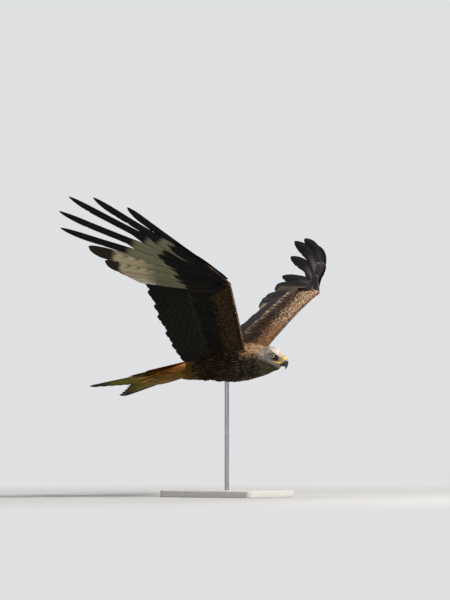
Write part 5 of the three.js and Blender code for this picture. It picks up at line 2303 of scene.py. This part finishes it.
@dataclass(frozen=True)
class Lamp:
    """A soft square light: the way to it from the bird in degrees, its distance, size and power."""

    name: str
    azimuth: float
    elevation: float
    distance: float
    size: float
    power: float
    colour: Colour


LAMPS = (
    Lamp("key", 92, 44, 4.0, 1.2, 250, (1.0, 0.97, 0.93)),
    Lamp("front", 20, 12, 5.0, 3.0, 26, (0.95, 0.97, 1.0)),
    Lamp("back", 215, 50, 4.5, 2.0, 60, (1.0, 0.98, 0.95)),
)


@dataclass
class Stage:
    """The camera, the lights and the floor."""

    azimuth: float = 34.0
    distance: float = 30.0
    aim: tuple[float, float, float] = (-0.006, 0.0, 0.532)
    picture_height: float = 1.62
    sensor: float = 36.0
    backdrop: Colour = (0.74, 0.75, 0.76)
    ambient: float = 0.34

    def camera(self) -> None:
        """The camera at the photograph's viewing angle, level with the bird."""
        heading = math.radians(self.azimuth)
        back = Vector((math.sin(heading), -math.cos(heading), 0))
        bpy.ops.object.camera_add(location=Vector(self.aim) + back * self.distance,
                                  rotation=(math.pi / 2, 0, heading))
        camera = bpy.context.object
        camera.data.sensor_width = self.sensor
        camera.data.lens = self.sensor * self.distance / self.picture_height
        camera.data.clip_end = 200
        bpy.context.scene.camera = camera

    def light(self, lamp: Lamp) -> None:
        """Adds a light that faces the bird.

        Args:
            lamp: The light.
        """
        a, e = math.radians(lamp.azimuth), math.radians(lamp.elevation)
        away = Vector((math.sin(a) * math.cos(e), -math.cos(a) * math.cos(e), math.sin(e)))
        bpy.ops.object.light_add(type="AREA", location=Vector(self.aim) + away * lamp.distance)
        made = bpy.context.object
        made.name = lamp.name
        made.rotation_euler = away.to_track_quat("Z", "Y").to_euler()
        made.data.size, made.data.energy, made.data.color = lamp.size, lamp.power, lamp.colour

    def build(self) -> None:
        """Sets the stage."""
        self.camera()
        for lamp in LAMPS:
            self.light(lamp)
        bpy.context.scene.view_settings.view_transform = "Standard"
        bpy.ops.mesh.primitive_circle_add(vertices=96, radius=60, fill_type="NGON")
        floor = bpy.context.object
        floor.name = "floor"
        floor.data.materials.append(StageFinish(far=self.backdrop).dress())
        world = bpy.data.worlds.new("studio")
        world.use_nodes = True
        nodes, links = world.node_tree.nodes, world.node_tree.links
        background = nodes["Background"]
        background.inputs[0].default_value = (*self.backdrop, 1)
        seen, strength = nodes.new("ShaderNodeLightPath"), nodes.new("ShaderNodeMapRange")
        strength.inputs["To Min"].default_value = self.ambient
        links.new(seen.outputs["Is Camera Ray"], strength.inputs["Value"])
        links.new(strength.outputs[0], background.inputs[1])
        bpy.context.scene.world = world


WINGS = (
    Wing(
        Side.RIGHT,
        leading=((95, 46, 23), (146, 132, 50), (178, 237, 179)),
        trailing=((-117, 52, 7), (-111, 188, 146), (-65, 295, 213)),
        spread=(20, 26, 40, 48, 54, 59, 65, 69, 72, 75),
        rise=(28, 26, 26, 22, 18, 15, 11, 10, 9, 8),
        bow=0.045,
        seed=101,
    ),
    Wing(
        Side.LEFT,
        leading=((95, 46, 27), (130, 157, 146), (148, 238, 201)),
        trailing=((-117, 52, 18), (-86, 195, 117), (-78, 330, 200)),
        spread=(36, 39, 42, 43, 46, 51, 58, 62, 65, 67),
        rise=(26, 25, 23, 18, 12, 9.5, 5, 3, 1, 0),
        bow=0.17,
        seed=201,
        finger_width=1.4,
    ),
)


def main() -> None:
    """Builds every piece in order."""
    logging.basicConfig(level=logging.INFO, format="%(message)s")
    Stage().build()
    Stand().build()
    hide = Hide()
    skin = hide.build(WINGS)
    Mask(hide).build()
    hand_over(skin, SkinFinish().dress(), FLESH)
    Coat(hide).build()
    coverts = {finish.name: finish.dress() for finish in COVERTS}
    quills = QuillFinish().dress()
    for wing in WINGS:
        wing.build(coverts, quills)
    Tail().build()
    scales = PlainFinish("foot_scales", (0.62, 0.38, 0.06), (0.45, 0.25, 0.04), 0.5, 700.0, depth=0.0003)
    horn = HornFinish("claw_horn").dress()
    for side in Side:
        Foot(side).build(scales.dress(), horn)


if __name__ == "__main__":
    main()
